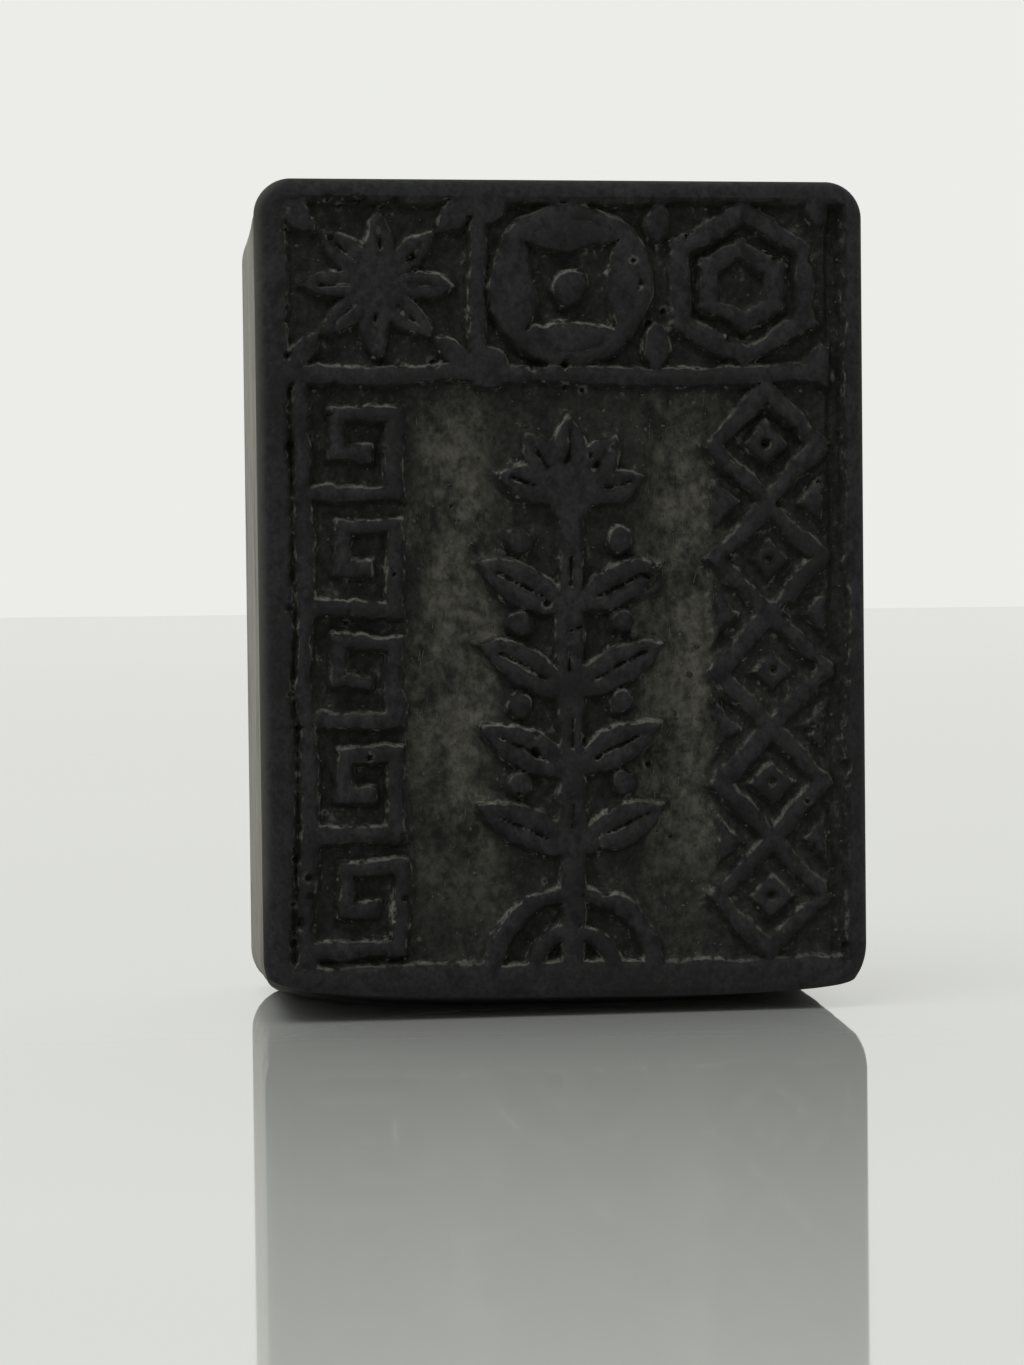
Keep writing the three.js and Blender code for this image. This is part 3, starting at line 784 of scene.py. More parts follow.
class Shell:
    """Points and faces of one closed piece."""

    def __init__(self):
        self.blocks = []
        self.faces = []
        self.count = 0

    def points(self, x, y, z):
        """Adds points and gives their numbers."""
        block = np.stack(np.broadcast_arrays(x, y, z), axis=-1).reshape(-1, 3)
        self.blocks.append(block)
        self.count += len(block)
        return np.arange(self.count - len(block), self.count)

    def sheet(self, x, y, z):
        """Adds a grid of points with its faces, and gives the points' numbers."""
        grid = self.points(x, y, z).reshape(x.shape)
        quads = np.stack([grid[:-1, :-1], grid[:-1, 1:], grid[1:, 1:], grid[1:, :-1]], axis=-1)
        self.faces += quads.reshape(-1, 4).tolist()
        return grid

    def bridge(self, first, second):
        """Joins two closed loops of the same length."""
        quads = np.stack([first, np.roll(first, -1), np.roll(second, -1), second], axis=-1)
        self.faces += quads.tolist()

    def holed_cap(self, loop, y, holes):
        """Closes a loop with a flat cap at y that has round holes, and gives their rims."""
        outline = np.concatenate(self.blocks)[loop]
        rims = []
        for (cx, cz), radius in holes:
            turn = np.linspace(0, ROUND_TURN, CURVE_STEPS, endpoint=False)
            rims.append((cx + radius * np.cos(turn), cz + radius * np.sin(turn)))
        numbers = [loop] + [self.points(x, y, z) for x, z in rims]
        places = np.concatenate([outline[:, [0, 2]], *[np.stack(rim, axis=-1) for rim in rims]]) / MM
        edges = []
        for loop_numbers in numbers:
            first = len(edges)
            count = len(loop_numbers)
            edges += [(first + i, first + (i + 1) % count) for i in range(count)]
        flat = np.concatenate(numbers)
        owners = np.concatenate([np.full(len(part), i) for i, part in enumerate(numbers)])
        inside_only = 1
        closest = 1e-6
        flat_places = [Vector(place) for place in places]
        _, _, triangles, origins, _, _ = delaunay_2d_cdt(flat_places, edges, [], inside_only, closest)
        for corners in triangles:
            corners = [origins[i][0] for i in corners]
            loops_met = {int(owners[i]) for i in corners}
            if loops_met == {0} or len(loops_met) > 1:
                self.faces.append([int(flat[i]) for i in corners])
        return numbers[1:]

    def blind(self, rims, y):
        """Takes each hole down to a flat floor at y."""
        for rim in rims:
            x, _, z = np.concatenate(self.blocks)[rim].T
            floor = self.points(x, y, z)
            self.bridge(rim, floor)
            self.faces.append(floor.tolist())

    def mesh(self, name):
        mesh = bpy.data.meshes.new(name)
        mesh.from_pydata(np.concatenate(self.blocks).tolist(), [], self.faces)
        shell = bmesh.new()
        shell.from_mesh(mesh)
        bmesh.ops.recalc_face_normals(shell, faces=shell.faces)
        open_edges = sum(not edge.is_manifold for edge in shell.edges)
        shell.to_mesh(mesh)
        shell.free()
        if open_edges:
            raise RuntimeError(f"{name} has {open_edges} open edges")
        return mesh


def in_scene(name, data):
    """A new object in the scene, with this mesh, camera or lamp."""
    made = bpy.data.objects.new(name, data)
    bpy.context.scene.collection.objects.link(made)
    return made


def show(name, mesh, material, sharp_angle=None):
    """Puts a finished mesh in the scene, smooth except along its sharp edges."""
    piece = in_scene(name, mesh)
    mesh.materials.clear()
    mesh.materials.append(material)
    mesh.shade_smooth()
    if sharp_angle is not None:
        mesh.set_sharp_from_angle(angle=math.radians(sharp_angle))
    return piece


def peg_holes(clearance):
    """Centre and radius of each peg's hole."""
    holes = []
    for low, high in PEG_BOXES:
        radius = (high[2] - low[2]) / 2 + clearance
        holes.append((((low[0] + high[0]) / 2, (low[2] + high[2]) / 2), radius))
    return holes


def corner_radii(y, body):
    """Radius of the lower and of the upper corners at a depth."""
    back = (y - FACE_Y) / (BLOCK_HIGH[1] - FACE_Y)
    lower = body.bottom_corner + back * (body.bottom_corner_back - body.bottom_corner)
    return lower, body.top_corner + back * (body.top_corner_back - body.top_corner)


def worn_edge(distance, radius):
    """How far a rounded edge falls back at a distance inside the outline."""
    left = np.clip(radius - distance, 0, radius)
    return radius - np.sqrt(np.maximum(radius ** 2 - left ** 2, 0))


def half_width_at(y, z, body):
    """Half the outline's width at a depth and a height, between rounded corners."""
    low_radius, high_radius = corner_radii(y, body)
    return HALF_WIDTH - worn_edge(z, low_radius) - worn_edge(HEIGHT - z, high_radius)


def foot_height(x, y, body):
    """Height of the worn slope under the lower front edge."""
    outward = (x / HALF_WIDTH) ** 4
    rise = body.foot_rise - body.foot_lean * x + body.foot_bow * outward + body.foot_curl * outward ** 6
    run = body.foot_run * (1 + body.foot_spread * outward)
    return rise * np.clip(1 - (y - FACE_Y) / run, 0, 1)


def over_foot(x, y, z, body):
    """Moves the points below the lower front edge onto the worn slope."""
    rise = foot_height(x, FACE_Y, body)
    below = np.clip(1 - z / rise, 0, 1)
    arris = body.foot_arris * np.exp(-((z - rise) / (2 * body.foot_arris)) ** 2)
    y = np.maximum(y, FACE_Y + body.edge_rounding * below) + arris
    return y, np.maximum(z, foot_height(x, y, body))


def edge_spaced(low, high, body):
    """Places from low to high, close together across the worn edges at both ends."""
    turn = np.linspace(0, math.pi / 2, body.rounding_steps, endpoint=False)
    edge = body.edge_rounding * (1 - np.cos(turn))
    inner_low = low + body.edge_rounding
    inner_high = high - body.edge_rounding
    count = int(round((inner_high - inner_low) / body.grid)) + 1
    return np.concatenate([low + edge, np.linspace(inner_low, inner_high, count), (high - edge)[::-1]])


def outline_inside(x, y, z, body):
    """Distance inside the stamp's outline at a depth."""
    low, high = (-HALF_WIDTH, 0), (HALF_WIDTH, HEIGHT)
    return np.maximum(rounded_box_inside(x, z, low, high, corner_radii(y, body)), 0)


def border(numbers):
    """The outer loop of a grid of point numbers."""
    return np.concatenate([numbers[:-1, 0], numbers[-1, :-1], numbers[:0:-1, -1], numbers[0, :0:-1]])


def outline_at(shell, places, y, inset, body):
    """Adds the outline at a depth, with sides that the plane has left a little uneven."""
    across, z = places
    mean_radius = 20
    around = np.arctan2(across, 2 * z / HEIGHT - 1) * mean_radius * MM
    stray = body.side_wander * (0.5 + 0.5 * layered_noise(around, y, (5, 4), seed=83)) + inset
    x = across * (half_width_at(y, z, body) - stray)
    lower = np.maximum(z * (1 - stray / HEIGHT), inset)
    return shell.points(x, y, np.maximum(lower, foot_height(x, y, body) + inset))


def sides_to_joint(shell, loop, places, start, joint, rows, body):
    """Runs the outline from a worn edge to the joint, where it is drawn in a little."""
    arris = math.copysign(body.joint_arris, joint - start)
    for y in [*np.linspace(start, joint - arris, rows)[1:], joint]:
        inset = body.joint_arris if y == joint else 0
        points = outline_at(shell, places, y, inset, body)
        shell.bridge(loop, points)
        loop = points
    return loop


def lattice(rows, columns):
    """Heights and shares of the half width over a grid, and both of them round its border."""
    z, share_x = np.meshgrid(rows, columns, indexing="ij")
    return z, share_x, (border(share_x), border(z))


class SEAL_OT_carved_plate(bpy.types.Operator):
    """Makes the carved and inked printing plate"""
    bl_idname = "seal.carved_plate"
    bl_label = "Carved plate"

    def execute(self, context):
        scene = context.scene
        body = scene.seal_body
        carving = Carving(scene.seal_relief, scene.seal_ornament, scene.seal_wear)
        rows = edge_spaced(0, HEIGHT, body)
        columns = edge_spaced(-HALF_WIDTH, HALF_WIDTH, body) / HALF_WIDTH
        z, share_x, places = lattice(rows, columns)
        x = share_x * half_width_at(FACE_Y, z, body)
        carved_from = 1.3 * body.foot_rise
        flat = (outline_inside(x, FACE_Y, z, body) > body.edge_rounding) & (z > carved_from)
        moved_x, moved_z = carving.snapped(x, z, body.grid)
        x = np.where(flat, moved_x, x)
        z = np.where(flat, moved_z, z)
        raised = carving.raised(x, z)
        hollow = carving.hollow(x, z)
        y = FACE_Y + worn_edge(outline_inside(x, FACE_Y, z, body), body.edge_rounding)
        y = y + carving.depth(x, z, raised, hollow) * flat
        y, lifted = over_foot(x, y, z, body)
        shell = Shell()
        front = shell.sheet(x, y, lifted)
        joint = PLATE_HIGH[1]
        start = FACE_Y + body.edge_rounding
        loop = sides_to_joint(shell, border(front), places, start, joint, rows=8, body=body)
        peg_front = min(low[1] for low, _ in PEG_BOXES)
        rims = shell.holed_cap(loop, joint, peg_holes(body.peg_clearance))
        shell.blind(rims, peg_front - body.peg_clearance)
        mesh = shell.mesh("carved_plate")
        # Painted sheen along the worn left edge of the face, from above the lower corner upwards
        at_edge = smooth_step(-outline_inside(x, FACE_Y, z, body), -0.6 * body.edge_rounding, 0)
        at_left = smooth_step(-x, 0.88 * HALF_WIDTH, 0.96 * HALF_WIDTH)
        over_corner = smooth_step(z, 4 * MM, 9 * MM)
        surfaces = {
            "edge": np.clip(raised / MM, -2, 2),
            "upward": carving.facing_up(x, z, raised),
            "hollow": hollow * smooth_step(-raised, 0, scene.seal_relief.wall_run),
            "rim": smooth_step(-carving.sunk(x, z), 0, 0.3 * MM),
            "left_edge_sheen": at_edge * at_left * over_corner,
            "pit": np.clip(carving.lay(carving.pits, x, z) / MM, -1, 1),
        }
        behind = {"edge": 1, "rim": 1, "pit": -1}
        for name, values in surfaces.items():
            padded = np.full(len(mesh.vertices), behind.get(name, 0), np.float32)
            padded[:values.size] = values.ravel()
            mesh.attributes.new(name, "FLOAT", "POINT").data.foreach_set("value", padded)
        plate = show("carved_plate", mesh, inked_wood(scene.seal_colours), sharp_angle=38)
        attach(plate, "root")
        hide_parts("face_plate")
        return {"FINISHED"}


def inked_wood(colours):
    """Wood blackened by ink on the face: dull worn tops, dusty cuts and dry hollows, with painted shade at
    the foot of the walls, a painted highlight along their upper edges that is partly dust, a painted sheen
    on the left edge and painted shade on surfaces that face down.
    """
    wood = Finish("inked_wood", roughness=0.6, specular=0.06)
    edge = wood.attribute("edge")
    upward = wood.attribute("upward")
    rim = wood.attribute("rim")
    pit = wood.attribute("pit")
    across, depth, height = (wood.part(wood.place, axis) for axis in range(3))
    cloud = wood.noise((3.2, 3.2, 4.2), detail=2)
    patch = wood.noise((1.1, 1.1, 1.4), detail=3)
    drift = wood.noise((0.5, 0.5, 0.6), detail=3)
    mottle = wood.noise((0.24, 0.24, 0.26), detail=3, roughness=0.65)
    speck = wood.noise((0.12, 0.12, 0.13), detail=1)
    top = (edge + 0.1 * (mottle - 0.5)).ramp(-0.06, 0.04)
    open_ground = (-1 * edge).ramp(0.15, 0.7)
    ink = wood.layered(
        colours.ink,
        (colours.dull_ink_and_shade, (0.6 * patch + 0.4 * drift).ramp(0.38, 0.62)),
        (colours.rim, rim * (0.35 + 0.65 * cloud.ramp(0.35, 0.6))))
    # Painted shade on the ground at the foot of the walls, deepest under walls that face down: the ground
    # goes towards the pit colour there and the dry wood in the hollows fades
    painted_shade_at_walls = (1 - open_ground) * (0.3 - 0.7 * upward).ramp(0.0, 1.0)
    lit = (1 - 0.9 * painted_shade_at_walls) * (0.5 + 0.5 * patch.ramp(0.3, 0.6))
    dry = wood.attribute("hollow") * (0.5 * cloud + 0.3 * patch + 0.2 * drift).ramp(0.38, 0.6)
    ground = wood.layered(
        colours.pit,
        (colours.ground, lit),
        (colours.hollow, dry * (1 - 0.5 * painted_shade_at_walls)))
    grain = (0.45 * mottle + 0.55 * drift).ramp(0.34, 0.66) - 0.5
    near_wall = 1 - (-1 * edge).ramp(0.05, 0.9)
    dusty = near_wall * (0.6 * drift + 0.4 * mottle).ramp(0.55, 0.64) * patch.ramp(0.46, 0.58)

    # A broken pale line along the upper edge of the cut walls: painted highlight where the walls face up,
    # fainter towards the right, partly dust
    stray = 0.16 * (drift - 0.5) + 0.14 * (mottle - 0.5)
    line_width = 0.05 + 0.14 * patch
    pale_line = (edge + stray + 0.1).ramp(-1 * line_width, 0.0)
    pale_line = pale_line * (-1 * edge - stray - 0.02).ramp(-0.08, 0.0)
    highlight_and_dust = (0.45 * patch + 0.55 * drift + 0.08 * upward).ramp(0.5, 0.62)
    highlight_and_dust = highlight_and_dust * (0.45 + 0.55 * mottle.ramp(0.4, 0.56)) * (0.4 + 0.6 * cloud.ramp(0.42, 0.56))
    highlight_and_dust = highlight_and_dust * (1 - 0.35 * across.ramp(3.0, 9.0))
    highlight_and_dust = pale_line * highlight_and_dust * (0.25 + 0.75 * (upward + 0.8).ramp(0.0, 1.0))

    # Bare wood past the end of the ink, which seeps further along the grain near the top. Surfaces that
    # face down keep the ink's dark colour as painted shade.
    bare, bare_relief = bare_wood(wood, colours, trunk=(-7, -52))
    near_top = height.ramp(HEIGHT / MM - 9, HEIGHT / MM - 1)
    ink_reach = 1.05
    ink_end = FACE_Y / MM + ink_reach + 0.3 * patch + near_top * (0.5 + 0.7 * cloud)
    seep = wood.noise((0.2, 0.2, 1.1), detail=3) - 0.5
    past_ink = rim * (depth - ink_end + 0.7 * near_top * seep).ramp(0.0, 0.12 + 0.3 * near_top)
    past_ink = past_ink * (1 - wood.facing(-1))

    surface = wood.layered(
        wood.shaded(ground, 1 + 0.7 * grain),
        (colours.scuff_and_highlight, 0.6 * dusty),
        (wood.shaded(ink, 1 + 0.6 * grain), top),
        (colours.scuff_and_highlight, 0.4 * pit.ramp(-0.2, -0.03) * drift.ramp(0.5, 0.6)),
        (colours.pit, pit.ramp(-0.02, 0.08)),
        # Painted highlight along the upper edges of the walls
        (colours.scuff_and_highlight, highlight_and_dust),
        (colours.fibre, speck.ramp(0.74, 0.8) * drift.ramp(0.5, 0.6) * (1 - 0.7 * top)),
        (colours.pit, 0.7 * top * (0.4 * cloud + 0.6 * drift).ramp(0.52, 0.62)),
        # Painted sheen on the worn left edge
        (colours.scuff_and_highlight, 0.3 * wood.attribute("left_edge_sheen")),
        (bare, past_ink))
    dullness = 0.88 - 0.28 * top + 0.2 * (mottle - 0.5)
    relief = (1 - 0.5 * top) * mottle + 0.8 * drift + open_ground * patch
    relief = relief + past_ink * (bare_relief - relief)
    grain_depth = 0.045 * MM
    return wood.finish(
        Base_Color=surface, Roughness=dullness, Normal=wood.bump(relief, grain_depth, strength=0.9))


class SEAL_OT_backing_block(bpy.types.Operator):
    """Makes the pale wood block behind the plate"""
    bl_idname = "seal.backing_block"
    bl_label = "Backing block"

    def execute(self, context):
        body = context.scene.seal_body
        joint = BLOCK_LOW[1]
        back = BLOCK_HIGH[1]
        rows = edge_spaced(0, HEIGHT, body)[::2]
        rows[-1] = HEIGHT
        columns = edge_spaced(-HALF_WIDTH, HALF_WIDTH, body)[::3] / HALF_WIDTH
        columns[-1] = 1
        z, share_x, places = lattice(rows, columns)
        x = share_x * half_width_at(back, z, body)
        dent_depth = 0.05 * MM
        dents = dent_depth * (0.5 + 0.5 * layered_noise(x, z, (4, 6), seed=91))
        y = back - worn_edge(outline_inside(x, back, z, body), body.edge_rounding) - dents
        shell = Shell()
        rear = shell.sheet(x, y, z)
        start = back - body.edge_rounding
        loop = sides_to_joint(shell, border(rear), places, start, joint, rows=18, body=body)
        peg_back = max(high[1] for _, high in PEG_BOXES)
        rims = shell.holed_cap(loop, joint, peg_holes(body.peg_clearance))
        shell.blind(rims, peg_back + body.peg_clearance)
        finish = pale_wood(context.scene.seal_colours)
        block = show("wood_block", shell.mesh("wood_block"), finish, sharp_angle=50)
        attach(block, "root")
        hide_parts("backing_block")
        return {"FINISHED"}


def bare_wood(wood, colours, trunk):
    """Colour and relief of pale wood with upright grain, sawn beside a trunk's centre; surfaces that face
    down are darkened as painted shade.
    """
    bend = wood.noise((5, 5, 30), detail=2)
    lean, along_grain = (0.035, 0.02, 0.0), (1.0, 1.0, 0.15)
    from_trunk = wood.add("ShaderNodeMapping", {}, {
        "Vector": wood.place, "Location": (*trunk, 0.0), "Rotation": lean, "Scale": along_grain})
    kind = {"wave_type": "RINGS", "rings_direction": "Z", "wave_profile": "SAW"}
    values = {"Vector": from_trunk, "Scale": 0.2, "Distortion": 4.0, "Detail": 2.0, "Detail Scale": 0.6}
    rings = wood.add("ShaderNodeTexWave", kind, values, output=1)
    fibre = wood.noise((0.16, 0.16, 3.4), detail=4, roughness=0.6)
    streak = wood.noise((0.6, 0.6, 14), detail=3)
    pore = wood.noise((0.07, 0.07, 0.9), detail=2)
    grime = wood.noise((4, 4, 7), detail=4, roughness=0.6)
    up = wood.part(wood.place, 2)
    # Darker towards the bottom, and a little near the top
    darker_near_bottom_and_top = 0.12 * (1 - up.ramp(0.0, 9.0)) + 0.06 * up.ramp(38.0, 45.0)
    surface = wood.layered(
        colours.wood,
        (colours.wood_ring, rings.ramp(0.35, 1.0) * bend.ramp(0.35, 0.65)),
        (colours.wood_ring, fibre.ramp(0.42, 0.62) * 0.95),
        (colours.wood_stain, streak.ramp(0.48, 0.72) * 0.45),
        (colours.wood_stain, pore.ramp(0.62, 0.72) * 0.5),
        (colours.wood_stain, (grime + darker_near_bottom_and_top).ramp(0.5, 0.78) * 0.6),
        (colours.wood_stain, wood.facing(1) * (0.2 + 0.45 * rings.ramp(0.5, 1.0))),
        # Painted shade: surfaces that face down take the dark dull ink
        (colours.dull_ink_and_shade, wood.facing(-1) * 0.85))
    return surface, fibre + 0.6 * pore


def pale_wood(colours):
    """The block's bare, weathered wood."""
    wood = Finish("pale_wood", roughness=0.7, specular=0.3)
    surface, height = bare_wood(wood, colours, trunk=(9, -46))
    fibre_depth = 0.03 * MM
    return wood.finish(Base_Color=surface, Normal=wood.bump(height, fibre_depth, strength=0.7))


class SEAL_OT_glue_film(bpy.types.Operator):
    """Makes the film of hardened glue in the joint"""
    bl_idname = "seal.glue_film"
    bl_label = "Glue film"

    def execute(self, context):
        body = context.scene.seal_body
        rows, columns = 120, 90
        _, _, places = lattice(np.linspace(0, HEIGHT, rows), np.linspace(-1, 1, columns))
        depths = (GLUE_LOW[1], GLUE_HIGH[1])
        shell = Shell()
        loops = [outline_at(shell, places, y, body.glue_inset, body) for y in depths]
        shell.bridge(*loops)
        holes = peg_holes(body.peg_clearance)
        front, back = (shell.holed_cap(loop, y, holes) for loop, y in zip(loops, depths))
        for front_rim, back_rim in zip(front, back):
            shell.bridge(front_rim, back_rim)
        finish = hide_glue(context.scene.seal_colours)
        film = show("hardened_glue", shell.mesh("hardened_glue"), finish, sharp_angle=50)
        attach(film, "root")
        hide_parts("glue_film")
        return {"FINISHED"}


def hide_glue(colours):
    """Hardened glue, glossy and cloudy."""
    glue = Finish("hide_glue", roughness=0.35, specular=0.5)
    cloud = glue.noise((1.6, 1.6, 1.6), detail=3)
    surface = glue.mix(colours.glue, colours.pit, cloud.ramp(0.4, 0.7))
    ripple = glue.bump(cloud, depth=0.04 * MM)
    return glue.finish(Base_Color=surface, Roughness=0.3 + 0.3 * cloud, Normal=ripple)


# Repeated pieces

CARVED_AREA = 30 * MM * 40 * MM
HOLLOW_AREA = 9 * MM * 30 * MM


class Repeat(Sketch):
    """A geometry tree with named inputs, run once on a mesh and turned into a plain mesh."""

    def __init__(self, name, inputs):
        super().__init__(bpy.data.node_groups.new(name, "GeometryNodeTree"))
        interface = self.tree.interface
        interface.new_socket("Geometry", in_out="INPUT", socket_type="NodeSocketGeometry")
        interface.new_socket("Geometry", in_out="OUTPUT", socket_type="NodeSocketGeometry")
        self.identifiers = {}
        for label, value in inputs.items():
            kind = "NodeSocketInt" if isinstance(value, int) else "NodeSocketFloat"
            entry = interface.new_socket(label, in_out="INPUT", socket_type=kind)
            self.identifiers[label] = entry.identifier
        self.values = inputs
        self.entry = self.tree.nodes.new("NodeGroupInput")

    def input(self, label):
        return Signal(self, self.entry.outputs[label])

    def join_vector(self, x, y, z):
        return self.add("ShaderNodeCombineXYZ", {}, {"X": x, "Y": y, "Z": z})

    def scatter(self, name, mask):
        """Points strewn over the mesh, as densely as the mask of a named attribute allows."""
        where = self.add("GeometryNodeInputNamedAttribute", {"data_type": "FLOAT"}, {"Name": name})
        return self.add("GeometryNodeDistributePointsOnFaces", {}, {
            "Mesh": self.input("Geometry"), "Density": self.input("Density") * mask(where),
            "Seed": self.input("Seed")})

    def spread(self, low, high, seed):
        """A random number for each instance."""
        values = {2: low, 3: high, "Seed": seed}
        return self.add("FunctionNodeRandomValue", {"data_type": "FLOAT"}, values, output=1)

    def repeated(self, instance, points, **values):
        """The instance, set on every point."""
        values.update(Points=points, Instance=instance)
        return self.add("GeometryNodeInstanceOnPoints", {}, values)

    def make(self, name, geometry, material, source, sharp_angle=None):
        """Ends the tree with a geometry, runs it on a mesh and shows the plain mesh that comes out."""
        real = self.add("GeometryNodeRealizeInstances", {}, {"Geometry": geometry})
        painted = self.add("GeometryNodeSetMaterial", {}, {"Geometry": real, "Material": material})
        leave = self.tree.nodes.new("NodeGroupOutput")
        self.feed(leave.inputs["Geometry"], painted)
        carrier = in_scene(name, source)
        modifier = carrier.modifiers.new(name, "NODES")
        modifier.node_group = self.tree
        for label, identifier in self.identifiers.items():
            modifier[identifier] = self.values[label]
        graph = bpy.context.evaluated_depsgraph_get()
        mesh = bpy.data.meshes.new_from_object(carrier.evaluated_get(graph))
        mesh.name = name
        bpy.data.objects.remove(carrier)
        return show(name, mesh, material, sharp_angle)


class SEAL_OT_pegs(bpy.types.Operator):
    """Makes the four bamboo pegs inside the joint"""
    bl_idname = "seal.pegs"
    bl_label = "Pegs"

    def execute(self, context):
        low, high = PEG_BOXES[0]
        tree = Repeat("turned_pegs", {
            "Radius": (high[2] - low[2]) / 2,
            "Length": high[1] - low[1],
            "Rings": 24,
            "Sides": CURVE_STEPS,
        })
        half = tree.input("Length") * 0.5
        line = tree.add("GeometryNodeCurvePrimitiveLine", {}, {
            "Start": tree.join_vector(0.0, half * -1, 0.0), "End": tree.join_vector(0.0, half, 0.0)})
        line = tree.add("GeometryNodeResampleCurve", {}, {"Curve": line, "Count": tree.input("Rings")})
        along = tree.add("GeometryNodeSplineParameter")
        from_end = 0.5 - tree.add("ShaderNodeMath", {"operation": "ABSOLUTE"}, {0: along - 0.5})
        end_width, bevel = 0.76, 0.06
        taper = end_width + (1 - end_width) * from_end.ramp(0.0, bevel)
        circle = tree.add("GeometryNodeCurvePrimitiveCircle", {}, {
            "Resolution": tree.input("Sides"), "Radius": tree.input("Radius")})
        peg = tree.add("GeometryNodeCurveToMesh", {}, {
            "Curve": line, "Profile Curve": circle, "Scale": taper, "Fill Caps": True})
        placed = tree.repeated(peg, tree.input("Geometry"))
        colours = context.scene.seal_colours
        bamboo = Finish("bamboo", roughness=0.55, specular=0.3)
        fibre = bamboo.noise((0.13, 2.6, 0.13), detail=3)
        surface = bamboo.mix(colours.bamboo, colours.bamboo_fibre, fibre.ramp(0.5, 0.68))
        material = bamboo.finish(Base_Color=surface, Normal=bamboo.bump(fibre, depth=0.04 * MM))
        centres = bpy.data.meshes.new("peg_places")
        centres.from_pydata([tuple((a + b) / 2 for a, b in zip(*box)) for box in PEG_BOXES], [], [])
        pegs = tree.make("bamboo_pegs", placed, material, centres, sharp_angle=40)
        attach(pegs, "root")
        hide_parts(*[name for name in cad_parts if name.startswith("peg_")])
        return {"FINISHED"}


class SEAL_OT_ink_crumbs(bpy.types.Operator):
    """Scatters crumbs of dried ink over the sunk ground"""
    bl_idname = "seal.ink_crumbs"
    bl_label = "Ink crumbs"

    def execute(self, context):
        wear = context.scene.seal_wear
        tree = Repeat("ink_crumbs", {
            "Density": wear.crumb_count / CARVED_AREA,
            "Size": wear.crumb_size,
            "Seed": 5,
        })
        points = tree.scatter("edge", lambda edge: (-1 * edge).ramp(0.05, 0.3))
        crumb = tree.add("GeometryNodeMeshIcoSphere", {}, {"Radius": 0.5, "Subdivisions": 1})
        size = tree.input("Size") * tree.spread(0.25, 1.0, seed=7) * tree.spread(0.25, 1.0, seed=9)
        scale = tree.join_vector(size * tree.spread(0.5, 1.0, seed=1), size * tree.spread(0.4, 0.8, seed=2),
                                 size * tree.spread(0.4, 1.0, seed=3))
        placed = tree.repeated(crumb, points, Scale=scale)
        colours = context.scene.seal_colours
        ink = Finish("dried_ink", roughness=0.9, specular=0.2)
        tone = ink.noise((0.6, 0.6, 0.6), detail=2)
        material = ink.finish(Base_Color=ink.mix(colours.ground, colours.crumb, tone.ramp(0.4, 0.62)))
        plate = bpy.data.objects["carved_plate"].data
        crumbs = tree.make("ink_crumbs", placed, material, plate)
        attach(crumbs, "root")
        return {"FINISHED"}


class SEAL_OT_torn_fibres(bpy.types.Operator):
    """Lays short torn fibres along the gouged hollows"""
    bl_idname = "seal.torn_fibres"
    bl_label = "Torn fibres"

    def execute(self, context):
        wear = context.scene.seal_wear
        tree = Repeat("torn_fibres", {
            "Density": wear.fibre_count / HOLLOW_AREA,
            "Length": wear.fibre_length,
            "Radius": wear.fibre_radius,
            "Seed": 8,
        })
        points = tree.scatter("hollow", lambda hollow: hollow)
        shaft = tree.add("GeometryNodeMeshCone", {}, {
            "Vertices": 4, "Radius Top": 0.3, "Radius Bottom": 1.0, "Depth": 1.0})
        tilt = tree.join_vector(tree.spread(-0.05, 0.22, seed=1), tree.spread(-0.3, 0.3, seed=2),
                                tree.spread(0.0, 3.0, seed=3))
        width = tree.input("Radius") * tree.spread(0.5, 1.3, seed=4)
        scale = tree.join_vector(width, width, tree.input("Length") * tree.spread(0.2, 1.0, seed=5))
        placed = tree.repeated(shaft, points, Rotation=tilt, Scale=scale)
        colours = context.scene.seal_colours
        dry = Finish("torn_fibre", roughness=0.85, specular=0.2)
        tone = dry.noise((0.5, 0.5, 1.4), detail=2)
        material = dry.finish(Base_Color=dry.mix(colours.hollow, colours.fibre, tone.ramp(0.4, 0.6)))
        plate = bpy.data.objects["carved_plate"].data
        fibres = tree.make("torn_fibres", placed, material, plate)
        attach(fibres, "root")
        return {"FINISHED"}


class SEAL_OT_studio(bpy.types.Operator):
    """Sets the camera, the lamps, the world and the floor"""
    bl_idname = "seal.studio"
    bl_label = "Studio"

    def execute(self, context):
        scene = context.scene
        studio = scene.seal_studio
        place_camera(scene, studio)
        light_world(scene, studio)
        lamp("top", place=(-0.3, -0.24, 0.72), size=0.5, power=studio.top_power)
        lay_floor(studio)
        scene.view_settings.view_transform = "Standard"
        return {"FINISHED"}


def place_camera(scene, studio):
    turn = studio.camera_turn
    pitch = studio.camera_pitch
    roll = studio.camera_roll
    forward = Vector((math.sin(turn) * math.cos(pitch), math.cos(turn) * math.cos(pitch), -math.sin(pitch)))
    right = Vector((math.cos(turn), -math.sin(turn), 0))
    up = right.cross(forward)
    rolled_right = right * math.cos(roll) + up * math.sin(roll)
    rolled_up = up * math.cos(roll) - right * math.sin(roll)
    data = bpy.data.cameras.new("camera")
    data.sensor_fit = "VERTICAL"
    data.sensor_height = 36
    data.lens = studio.focal_pixels * data.sensor_height / PICTURE_HEIGHT
    data.clip_start = 0.01
    data.clip_end = 20
    camera = in_scene("camera", data)
    turned = Matrix((rolled_right, rolled_up, -forward)).transposed().to_4x4()
    eye = Vector((studio.camera_side, FACE_Y - studio.camera_distance, studio.camera_height))
    camera.matrix_world = Matrix.Translation(eye) @ turned
    scene.camera = camera


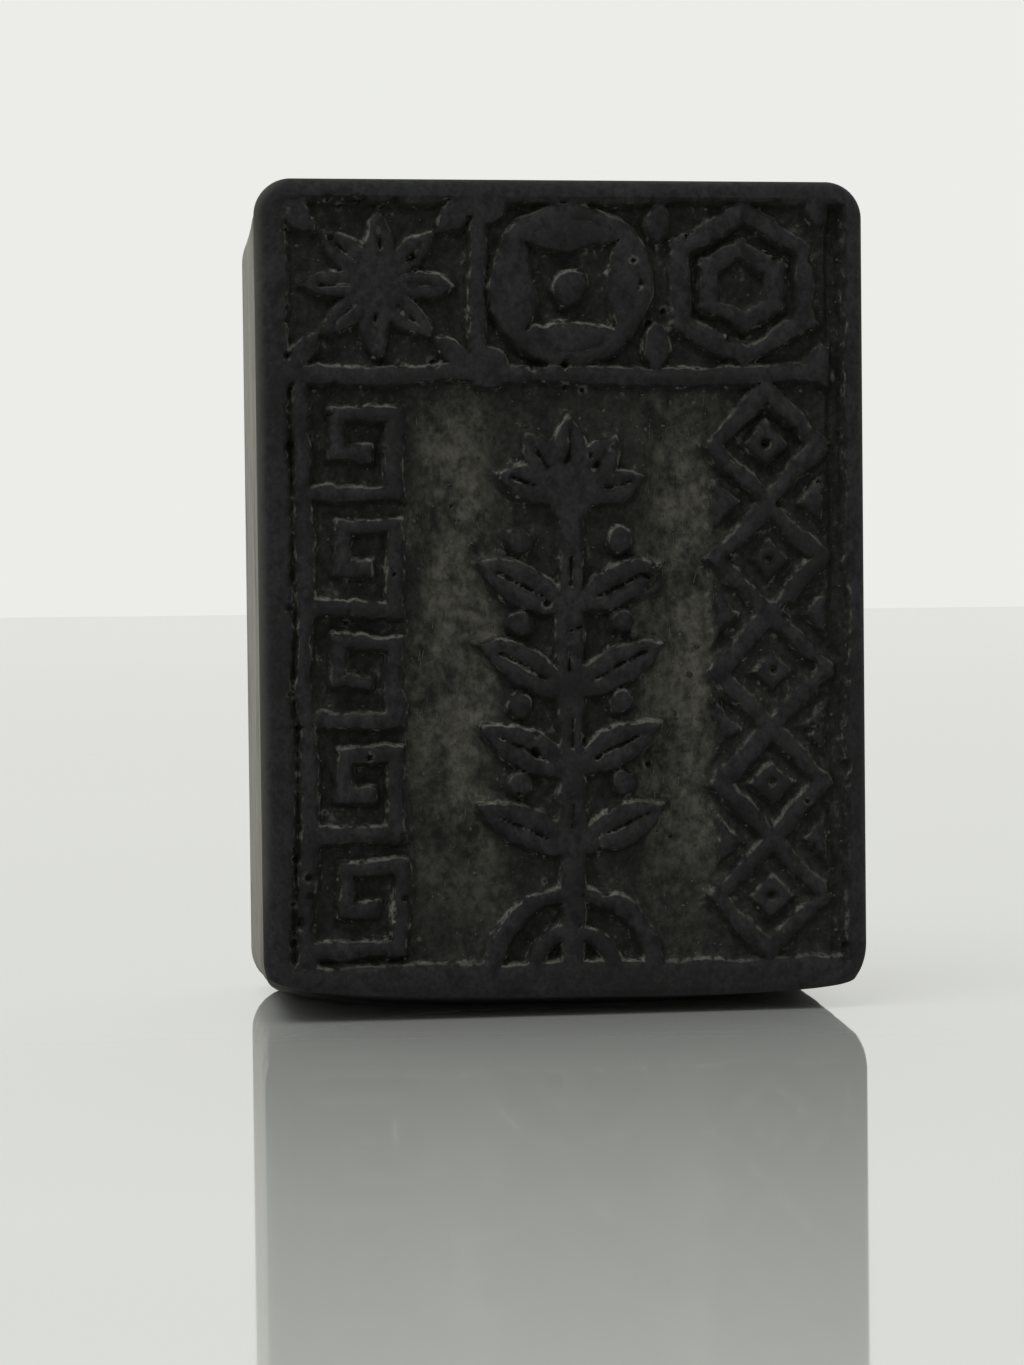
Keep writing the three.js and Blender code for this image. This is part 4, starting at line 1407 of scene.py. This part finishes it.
def light_world(scene, studio):
    """A pale backdrop behind the stamp, and a dimmer room on the camera's side."""
    world = bpy.data.worlds.new("studio")
    world.use_nodes = True
    scene.world = world
    sketch = Sketch(world.node_tree)
    world.node_tree.nodes.clear()
    behind = sketch.part(sketch.add("ShaderNodeTexCoord"), 1)
    path = world.node_tree.nodes.new("ShaderNodeLightPath")
    kinds = ("Is Camera Ray", "Is Glossy Ray", "Is Transmission Ray")
    camera, glossy, through = (Signal(sketch, path.outputs[kind]) for kind in kinds)
    level = studio.room + (studio.window - studio.room) * behind.ramp(-0.35, 0.25)
    level = level + (glossy + through).ramp(0.0, 1.0) * (studio.mirrored - level)
    level = level + camera * (1 - level)
    back = sketch.add("ShaderNodeBackground", {}, {"Color": (*studio.backdrop, 1), "Strength": level})
    out = world.node_tree.nodes.new("ShaderNodeOutputWorld")
    sketch.feed(out.inputs["Surface"], back)


def lamp(name, place, size, power):
    """A soft square lamp that looks at the middle of the stamp."""
    data = bpy.data.lights.new(name, "AREA")
    data.size = size
    data.energy = power
    light = in_scene(name, data)
    light.location = place
    aim = Vector((0, 0, HEIGHT / 2)) - Vector(place)
    light.rotation_euler = aim.to_track_quat("-Z", "Y").to_euler()
    light.visible_glossy = False


def lay_floor(studio):
    """A polished pale floor that reaches to the backdrop."""
    corners = 96
    turn = np.linspace(0, ROUND_TURN, corners, endpoint=False)
    rim = np.stack([np.cos(turn), np.sin(turn), np.zeros_like(turn)], axis=-1) * studio.floor_radius
    mesh = bpy.data.meshes.new("floor")
    mesh.from_pydata(rim.tolist(), [], [list(range(corners))])
    polish = Finish("polished_floor", roughness=0.05, specular=0.5)
    cloud = polish.noise((60, 60, 60), detail=2)
    darker = 0.96
    pale = polish.mix(studio.floor, tuple(darker * c for c in studio.floor), cloud)
    mesh.materials.append(polish.finish(Base_Color=pale, Coat_Roughness=0.03, Coat_Weight=0.9))
    return in_scene("floor", mesh)


STEPS = [
    SEAL_OT_studio, SEAL_OT_carved_plate, SEAL_OT_backing_block, SEAL_OT_glue_film, SEAL_OT_pegs,
    SEAL_OT_ink_crumbs, SEAL_OT_torn_fibres,
]


class SEAL_PT_parts(bpy.types.Panel):
    """Lists the steps that make the stamp"""
    bl_idname = "SEAL_PT_parts"
    bl_label = "Seal Stamp"
    bl_space_type = "VIEW_3D"
    bl_region_type = "UI"
    bl_category = "Seal Stamp"

    def draw(self, context):
        for step in STEPS:
            self.layout.operator(step.bl_idname)


def register():
    for group in GROUPS.values():
        bpy.utils.register_class(group)
    for name, group in GROUPS.items():
        setattr(bpy.types.Scene, name, bpy.props.PointerProperty(type=group))
    for entry in [*STEPS, SEAL_PT_parts]:
        bpy.utils.register_class(entry)


def unregister():
    for entry in [SEAL_PT_parts, *reversed(STEPS)]:
        bpy.utils.unregister_class(entry)
    for name, group in reversed(GROUPS.items()):
        delattr(bpy.types.Scene, name)
        bpy.utils.unregister_class(group)


def main():
    register()
    bpy.ops.seal.studio()
    bpy.ops.seal.carved_plate()
    bpy.ops.seal.backing_block()
    bpy.ops.seal.glue_film()
    bpy.ops.seal.pegs()
    bpy.ops.seal.ink_crumbs()
    bpy.ops.seal.torn_fibres()


if __name__ == "__main__":
    main()
